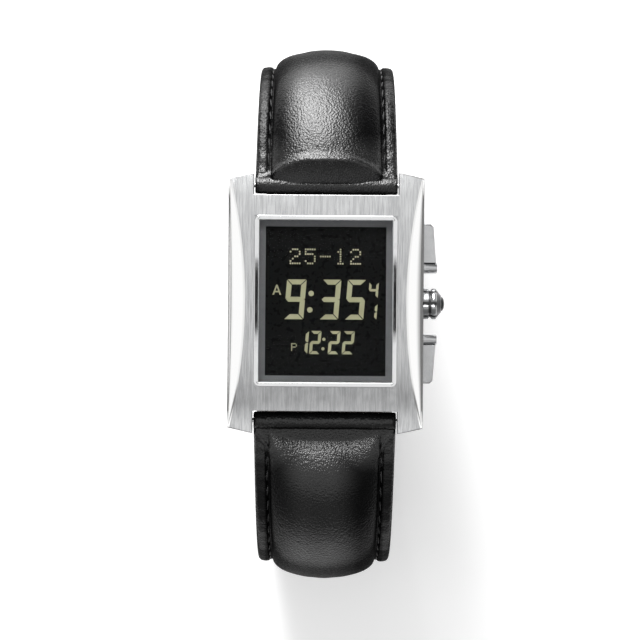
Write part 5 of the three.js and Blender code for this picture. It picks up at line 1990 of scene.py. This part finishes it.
    def rolls(self) -> list[Shape]:
        """The leather rolled round the spring bar, with a crinkled skin."""
        y, z = self.roll_at
        half = self.width[0] / 2
        outer = [(half - 0.3 + 0.3 * sin(a), 1.5 - 0.3 * (1 - cos(a)))
                 for a in (0.0, 0.5, 1.0, pi / 2)]
        flat = [(x, 1.5) for x in spaced(-half + 0.9, half - 0.9, 44)]
        stations = [(-x, r) for x, r in reversed(outer)] + flat
        profile = [(-half, 0.85), *stations, *outer, (half, 0.85)]
        points, faces = turned(profile, Axis.X, (0.0, y, z), 28, True)
        rolled = []
        for px, py, pz in points:
            radius = hypot(py - y, pz - z)
            if radius < 1.0:
                rolled.append((px, py, pz))
                continue
            puff = 0.05 * noise.noise(Vector((px * 1.3, py * 0.9, pz * 0.9 + self.seed)))
            puff += 0.03 * noise.noise(Vector((px * 0.35, 2.0, self.seed)))
            rolled.append((px, y + (py - y) * (1 + puff), z + (pz - z) * (1 + puff)))
        made = [(rolled, faces)]
        if self.eye:
            eye_half, eye_y, eye_z = self.eye
            ring = [(-eye_half, 0.85), (-eye_half, 1.3), (-eye_half + 0.1, 1.4), (eye_half - 0.1, 1.4),
                    (eye_half, 1.3), (eye_half, 0.85)]
            made.append(turned(ring, Axis.X, (0.0, eye_y, eye_z), 28, True))
        return made

    def seam_line(self) -> list[Flat]:
        """The row of stitches on one side, as places along and across the strap."""
        line = []
        distance = self.seam_start
        stop = self.end - (self.dome_inset - self.seam_out + 0.02 if self.tip_length else 3.0)
        while distance < stop:
            line.append((distance, self.seam_at(distance)))
            distance += 0.1 if stop - distance > 1.0 else 0.02
        return line

    def stitches(self) -> list[Shape]:
        """Every stitch of the rows on both sides, on the outer face and on the lining."""
        made = []
        chance = random.Random(int(self.seed * 100) + 5)
        line = self.seam_line()
        walked = [0.0]
        for before, here in zip(line, line[1:]):
            walked.append(walked[-1] + hypot(here[0] - before[0], here[1] - before[1]))
        gap = (self.stitch_pitch - self.stitch_length) / 2
        for hand in (1, -1):
            for number in range(int((walked[-1] - gap) / self.stitch_pitch) + 1):
                slant = 0.1 + chance.uniform(-0.05, 0.07)
                start = number * self.stitch_pitch + gap
                track = []
                for share in spaced(0.0, 1.0, 8):
                    at = min(bisect.bisect_left(walked, start + self.stitch_length * share), len(line) - 1)
                    distance, x = line[at]
                    track.append((distance, hand * x))
                made.append(self.stitch(track, hand * slant, True))
                if self.lining_start + 1 < track[0][0] < self.lining_end - 2:
                    made.append(self.stitch(track, -hand * slant, False))
        return made

    def stitch(self, track: Sequence[Flat], slant: float, outside: bool) -> Shape:
        """One stitch: a short thread that rises from one hole and dips into the next.

        Args:
            track: The places along and across the strap that it passes.
            slant: How far it leans across.
            outside: True on the outer face and False on the lining.

        Returns:
            Points and faces.
        """
        rings = []
        run, rise = track[-1][0] - track[0][0], track[-1][1] - track[0][1]
        length = max(hypot(run, rise), 0.01)
        side = (-rise / length, run / length)
        for number, (along, x) in enumerate(track):
            share = number / (len(track) - 1)
            swell = sin(pi * min(max(share, 0.04), 0.96)) ** 0.5
            radius = self.thread_radius * (0.45 + 0.55 * swell)
            floor = self.top(along, x) if outside else -0.02
            lift = floor + (0.1 * swell - 0.05) * (1 if outside else -1)
            lean = slant * (share * 2 - 1)
            ring = []
            for i in range(10):
                angle = 2 * pi * i / 10
                out = lean + radius * cos(angle)
                ring.append(self.path.point(along + out * side[0], x + out * side[1],
                                            lift + radius * sin(angle)))
            rings.append(ring)
        return stacked(rings)


# Controls


@dataclass
class Pusher:
    """A side pusher: a fine-brushed block with a bright roll at its crown end, on a round stem."""

    name: str
    body: Body
    node: str
    level: float
    side: int
    centre: float = 9.1
    half_height: float = 1.5
    back: float = 16.1
    near: float = 18.8
    far: float = 18.1
    crown_end: float = -4.0
    far_end: float = 4.35
    roll_radius: float = 0.95
    seam: float = 0.22
    tip: float = 0.5
    edge: float = 0.14
    stem_radius: float = 0.6
    stem_start: float = 10.0
    overlap: float = 0.05
    lean_share: float = 0.04
    tip_draw: Flat = (0.6, 3.4)
    roll_ends: Sequence[Flat] = ((-0.18, 0.0), (-0.06, 0.06), (0.0, 0.2))
    roll_powers: Flat = (0.7, 0.8)

    def build(self, dresser: Dresser) -> None:
        """Makes and dresses the pusher head with its stem.

        Args:
            dresser: Finishes the piece.
        """
        stem = [(self.stem_start, self.stem_radius - 0.1), (self.stem_start + 0.1, self.stem_radius),
                (self.back + 0.2, self.stem_radius)]
        shaft = turned(stem, Axis.X, (0.0, self.side * self.centre, self.level), 28)
        piece = mesh_object(self.name, merged([self.block(), self.roll(), shaft]), 30.0)
        soften_edges(piece, 0.05, 2, 45.0)
        dresser.dress(piece, Slot.BRUSHED_STEEL, self.body, [self.node], PUSHER_STEEL.build())

    def place(self, x: float, along: float, z: float) -> Point:
        """Turns a place on the pusher, counted from the crown end, into a point of the frame."""
        return x, self.side * (self.centre + along), self.level + z

    def block(self) -> Shape:
        """The long block, whose outer face leans back towards the far end, with a bevelled tip.

        Returns:
            Points and faces.
        """
        start = self.crown_end + 2 * self.roll_radius - self.overlap
        face = self.near - self.seam
        tip_face = self.far + (face - self.far) * self.lean_share
        edges = quarter_round(self.edge, self.half_height)
        across, along_draw = self.tip_draw
        rings = []
        for inset, height in [*((inset, -height) for inset, height in edges), *reversed(edges)]:
            end = self.far_end - inset * along_draw
            outline = [
                (self.back, start), (face - inset, start), (face - inset, start + self.seam),
                (tip_face - inset, self.far_end - self.tip), (self.far - self.tip - inset * across, end),
                (self.back, end),
            ]
            rings.append([self.place(x, along, height) for x, along in outline])
        return stacked(rings)

    def roll(self) -> Shape:
        """The bright round bar at the crown end, lying across the block.

        Returns:
            Points and faces.
        """
        middle = self.crown_end + self.roll_radius
        flat, steep = self.roll_powers
        rings = []
        for x, inset in ((self.back, 0.0), *((self.near + x, inset) for x, inset in self.roll_ends)):
            ring = []
            for i in range(40):
                angle = 2 * pi * i / 40
                across, up = cos(angle), sin(angle)
                along = middle + copysign(abs(across) ** flat, across) * (self.roll_radius - inset)
                high = copysign(abs(up) ** steep, up) * (self.half_height - inset)
                ring.append(self.place(x, along, high))
            rings.append(ring)
        return stacked(rings)


@dataclass
class Crown:
    """The crown: a plain collar, a groove, a fluted ring, a cone and a domed black stone."""

    level: float
    back: float = 16.3
    face: float = 19.5
    flutes: int = 6
    flute_share: float = 0.13
    ring: Flat = (17.85, 18.68)
    ring_radius: float = 2.62
    recess: float = 0.35
    recess_radius: float = 1.27
    bore_radius: float = 1.6
    bore_end: float = 17.55
    stem_radius: float = 0.75
    stone_radius: float = 1.22
    stone_rise: float = 0.55
    sides: int = 168
    collar: Sequence[Point] = ((0.0, 2.36, 0.5), (0.14, 2.56, 0.9), (1.0, 2.56, 0.9))
    groove: Sequence[Point] = ((17.44, 2.4, 0.7), (17.5, 2.24, 0.5), (17.7, 2.24, 0.5), (17.76, 2.4, 0.7))
    cone: Sequence[Point] = ((18.72, 2.36, 0.4), (19.1, 1.82, 0.0), (19.4, 1.5, 0.0))
    seat: Flat = (1.42, 1.3)
    groove_slack: float = 0.02
    face_inset: float = 0.12
    painted_shade_depth: float = 0.55

    def build(self, dresser: Dresser) -> None:
        """Makes and dresses the crown head and its stone.

        Args:
            dresser: Finishes the pieces.
        """
        head = mesh_object("crown_fluted_head", self.head(), 32.0)
        dresser.dress(head, Slot.POLISHED_STEEL, Body.CROWN, ["crown_head"], CROWN_STEEL.build())
        head.data.materials.append(CROWN_SHADE_STEEL.build())
        # The flute valleys, the groove and the cone take the painted shade.
        for face in head.data.polygons:
            x, y, z = (part / MILLIMETRE for part in face.center)
            slack = self.groove_slack
            on_cone = self.ring[1] + slack < x < self.face - self.face_inset and face.normal.x > 0.3
            in_flute = x < self.ring[1] and self.wave(atan2(y, z - self.level)) > self.painted_shade_depth
            in_groove = self.groove[0][0] - slack < x < self.groove[-1][0] + slack
            outside = hypot(y, z - self.level) > self.bore_radius + 0.1
            face.material_index = 1 if on_cone or in_flute or (in_groove and outside) else 0
        stone = mesh_object("crown_domed_stone", self.stone(), 40.0)
        dresser.dress(stone, Slot.BLACK_STONE, Body.CROWN, ["crown_stone"])

    def profile(self) -> list[Point]:
        """The outline from the bore round the head to the stone's recess.

        Returns:
            Stations as place along the axis, radius, and how deep the flutes are there.
        """
        start, stop = self.ring
        radius, floor = self.ring_radius, self.face - self.recess
        return [
            (self.bore_end, self.stem_radius, 0.0), (self.bore_end, self.bore_radius, 0.0),
            (self.back, self.bore_radius, 0.0),
            *((self.back + place, wide, depth) for place, wide, depth in self.collar),
            *self.groove,
            (start + 0.12, radius - 0.05, 1.0), (start + 0.2, radius, 1.0),
            (stop - 0.2, radius, 1.0), (stop - 0.07, radius - 0.06, 1.0), (stop, radius - 0.2, 0.8),
            *self.cone,
            *((self.face, wide, 0.0) for wide in self.seat),
            (floor, self.recess_radius, 0.0), (floor, self.stem_radius, 0.0),
        ]

    def wave(self, angle: float) -> float:
        """How deep the flutes go at an angle, from 0 on a lobe to 1 in a valley."""
        return (0.5 + 0.5 * cos(angle * self.flutes)) ** 4

    def head(self) -> Shape:
        """The fluted head, with a flute valley facing the dial side.

        Returns:
            Points and faces.
        """
        rings = []
        for along, radius, depth in self.profile():
            ring = []
            for i in range(self.sides):
                angle = 2 * pi * i / self.sides
                reach = radius * (1 - self.flute_share * depth * self.wave(angle))
                ring.append((along, reach * sin(angle), self.level + reach * cos(angle)))
            rings.append(ring)
        return stacked(rings, True)

    def stone(self) -> Shape:
        """The domed stone, seated in the recess.

        Returns:
            Points and faces.
        """
        base = self.face - self.recess + 0.05
        profile = [(base, self.stone_radius - 0.1), (base + 0.1, self.stone_radius)]
        start = self.face - 0.02
        rise = self.stone_rise + 0.02
        for angle in spaced(0.0, pi / 2 - 0.06, 12):
            profile.append((start + rise * sin(angle), self.stone_radius * cos(angle)))
        return turned(profile, Axis.X, (0.0, 0.0, self.level), 64)


# Strap furniture


@dataclass
class Keeper:
    """A leather loop round both strap ends, with folded edges and a row of stitches along each."""

    name: str
    node: str
    body: Body
    centre: float
    half_width: float = 11.45
    wall: float = 1.1
    height: float = 7.5
    depth: float = 5.0
    corner: float = 1.1
    edge: float = 0.32
    seam_inset: float = 0.85
    stitch_pitch: float = 2.0
    thread_radius: float = 0.13

    def build(self, dresser: Dresser, thread: Material) -> None:
        """Makes and dresses the loop and its stitches.

        Args:
            dresser: Finishes the pieces.
            thread: The finish of the stitches.
        """
        loop = mesh_object(self.name, self.loop(), 50.0)
        dresser.dress(loop, Slot.BLACK_LEATHER, self.body, [self.node])
        seams = mesh_object(f"{self.name}_stitches", merged(self.stitches()), 60.0)
        dresser.dress(seams, Slot.BLACK_LEATHER, self.body, (), thread)

    def outline(self, inset: float) -> list[Flat]:
        """The loop's outline in the plane across the strap.

        Args:
            inset: How far it is drawn in.

        Returns:
            The outline's points.
        """
        corner = max(self.corner - inset, 0.12)
        flat = rounded_outline(self.half_width - inset, self.height / 2 - inset, corner, 6)
        return [(x, z + self.height / 2) for x, z in flat]

    def loop(self) -> Shape:
        """The loop, rounded over at its open edges, its faces a little puffed."""
        half = self.depth / 2
        section = []
        for angle in spaced(0.0, pi / 2, 4):
            section.append((self.edge * (1 - sin(angle)), half - self.edge * (1 - cos(angle))))
        outer = [(inset, along) for inset, along in section]
        groove = half - self.seam_inset
        outer += [(0.02, groove + 0.2), (0.09, groove), (0.02, groove - 0.2), (0.0, 0.0)]
        section = [(self.wall, half - 0.1), (self.wall - 0.1, half), *outer]
        mirrored = [(inset, -along) for inset, along in reversed(section[:-1])]
        rings = []
        for inset, along in [*section, *mirrored]:
            rings.append([(x, self.centre + along, z) for x, z in self.outline(inset)])
        return stacked(rings, True)

    def stitches(self) -> list[Shape]:
        """Stitches along both edges of the outer face."""
        made = []
        chance = random.Random(int(self.centre * 10) + 3)
        reach = self.half_width - 1.9
        count = round(2 * reach / self.stitch_pitch)
        for side in (1, -1):
            y = self.centre + side * (self.depth / 2 - self.seam_inset)
            for i in range(count):
                x = -reach + (i + 0.5) * 2 * reach / count
                made.append(self.stitch(x, y, 0.1 + chance.uniform(-0.05, 0.05)))
        return made

    def stitch(self, x: float, y: float, slant: float) -> Shape:
        """One stitch along X on the loop's underside, which faces out from the wrist.

        Args:
            x: Its middle across the strap.
            y: Its middle along the strap.
            slant: How far it leans.

        Returns:
            Points and faces.
        """
        rings = []
        for share in spaced(0.0, 1.0, 6):
            swell = sin(pi * min(max(share, 0.05), 0.95)) ** 0.5
            radius = self.thread_radius * (0.45 + 0.55 * swell)
            middle = (x + 0.7 * (share * 2 - 1), y + slant * (share * 2 - 1), 0.12 - 0.1 * swell)
            rings.append([(middle[0], middle[1] + radius * cos(a), middle[2] + radius * sin(a))
                          for a in (2 * pi * i / 8 for i in range(8))])
        return stacked(rings)


@dataclass
class Strap:
    """Both strap halves with their stitches, and the two keepers."""

    level: float
    buckle_eye: Flat = (-5.0, 5.3)
    eye_half: float = 10.0
    slot_half: float = 1.4
    used_hole: Flat = (-14.6, -7.6)
    hole_radius: float = 0.95
    holes: Sequence[float] = (-5.6, 0.4, 6.4, 12.4, 18.4)
    top: float = 7.5
    keeper_at: Flat = (0.0, 9.0)

    def build(self, dresser: Dresser) -> None:
        """Makes and dresses the strap.

        Args:
            dresser: Finishes the pieces.
        """
        thread = Thread("black_thread", (0.035, 0.035, 0.036), (0.008, 0.008, 0.008)).build()
        loop = StrapLoop(self.level)
        upper, lower = loop.upper(), loop.lower()
        bar_z = self.level + loop.bar_level
        eye_y, eye_z = self.buckle_eye
        StrapHalf(
            "upper", upper, 33.0, upper.length - 0.7, upper.length - 1.7,
            ("strap_upper_leather", "strap_upper_padding"), "strap_upper_lining", (loop.bar_across, bar_z),
            seed=2.0, eye=(self.eye_half, eye_y, eye_z), cuts=self.eye_slot(),
        ).build(dresser, thread)
        StrapHalf(
            "lower", lower, 37.0, lower.length, lower.length,
            ("strap_lower_leather", "strap_lower_padding"), "strap_lower_lining", (-loop.bar_across, bar_z),
            tip_length=9.0, foot=(1.4, 3.3), ridge=(1.9, 12.5), welt=(0.0, 1.0), front_curve=2.1,
            flange_ridge=0.36, seed=5.0, cuts=self.strap_holes(),
        ).build(dresser, thread)
        fixed, sliding = self.keeper_at
        Keeper("fixed_keeper_loop", "keeper_fixed", Body.WATCH, fixed).build(dresser, thread)
        Keeper("sliding_keeper_loop", "keeper_sliding", Body.SLIDING_KEEPER, sliding).build(dresser, thread)

    def eye_slot(self) -> list[Shape]:
        """The slot for the tongue in the end that goes round the buckle's bar."""
        y = self.buckle_eye[0]
        return [box_shape((-self.slot_half, y - 2.4, 0.0), (self.slot_half, y + 1.7, self.top + 1))]

    def strap_holes(self) -> list[Shape]:
        """The buckle holes: the used one is drawn long by the tongue, the rest are round."""
        low, high = self.used_hole
        cuts = [box_shape((-self.slot_half, low, -1.0), (self.slot_half, high, self.top + 1))]
        for y in self.holes:
            profile = [(-1.0, self.hole_radius), (self.top + 1, self.hole_radius)]
            cuts.append(turned(profile, Axis.Z, (0.0, y, 0.0), 32))
        return cuts


def main() -> None:
    """Builds and dresses the watch, then lights it."""
    logging.basicConfig(level=logging.INFO, format="%(message)s")
    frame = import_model()
    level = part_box("case_back")[0].z / MILLIMETRE
    dresser = Dresser(frame)
    case = Case(level)
    case.build(dresser)
    LipRing(level).build(dresser)
    Display(level).build(dresser)
    controls = level + case.stem_level
    Pusher("upper_pusher_head", Body.PUSHER_UPPER, "pusher_upper", controls, 1).build(dresser)
    Pusher("lower_pusher_head", Body.PUSHER_LOWER, "pusher_lower", controls, -1).build(dresser)
    Crown(controls).build(dresser)
    Strap(level).build(dresser)
    dresser.dress_nodes()
    Studio(level + case.height).build()


if __name__ == "__main__":
    main()
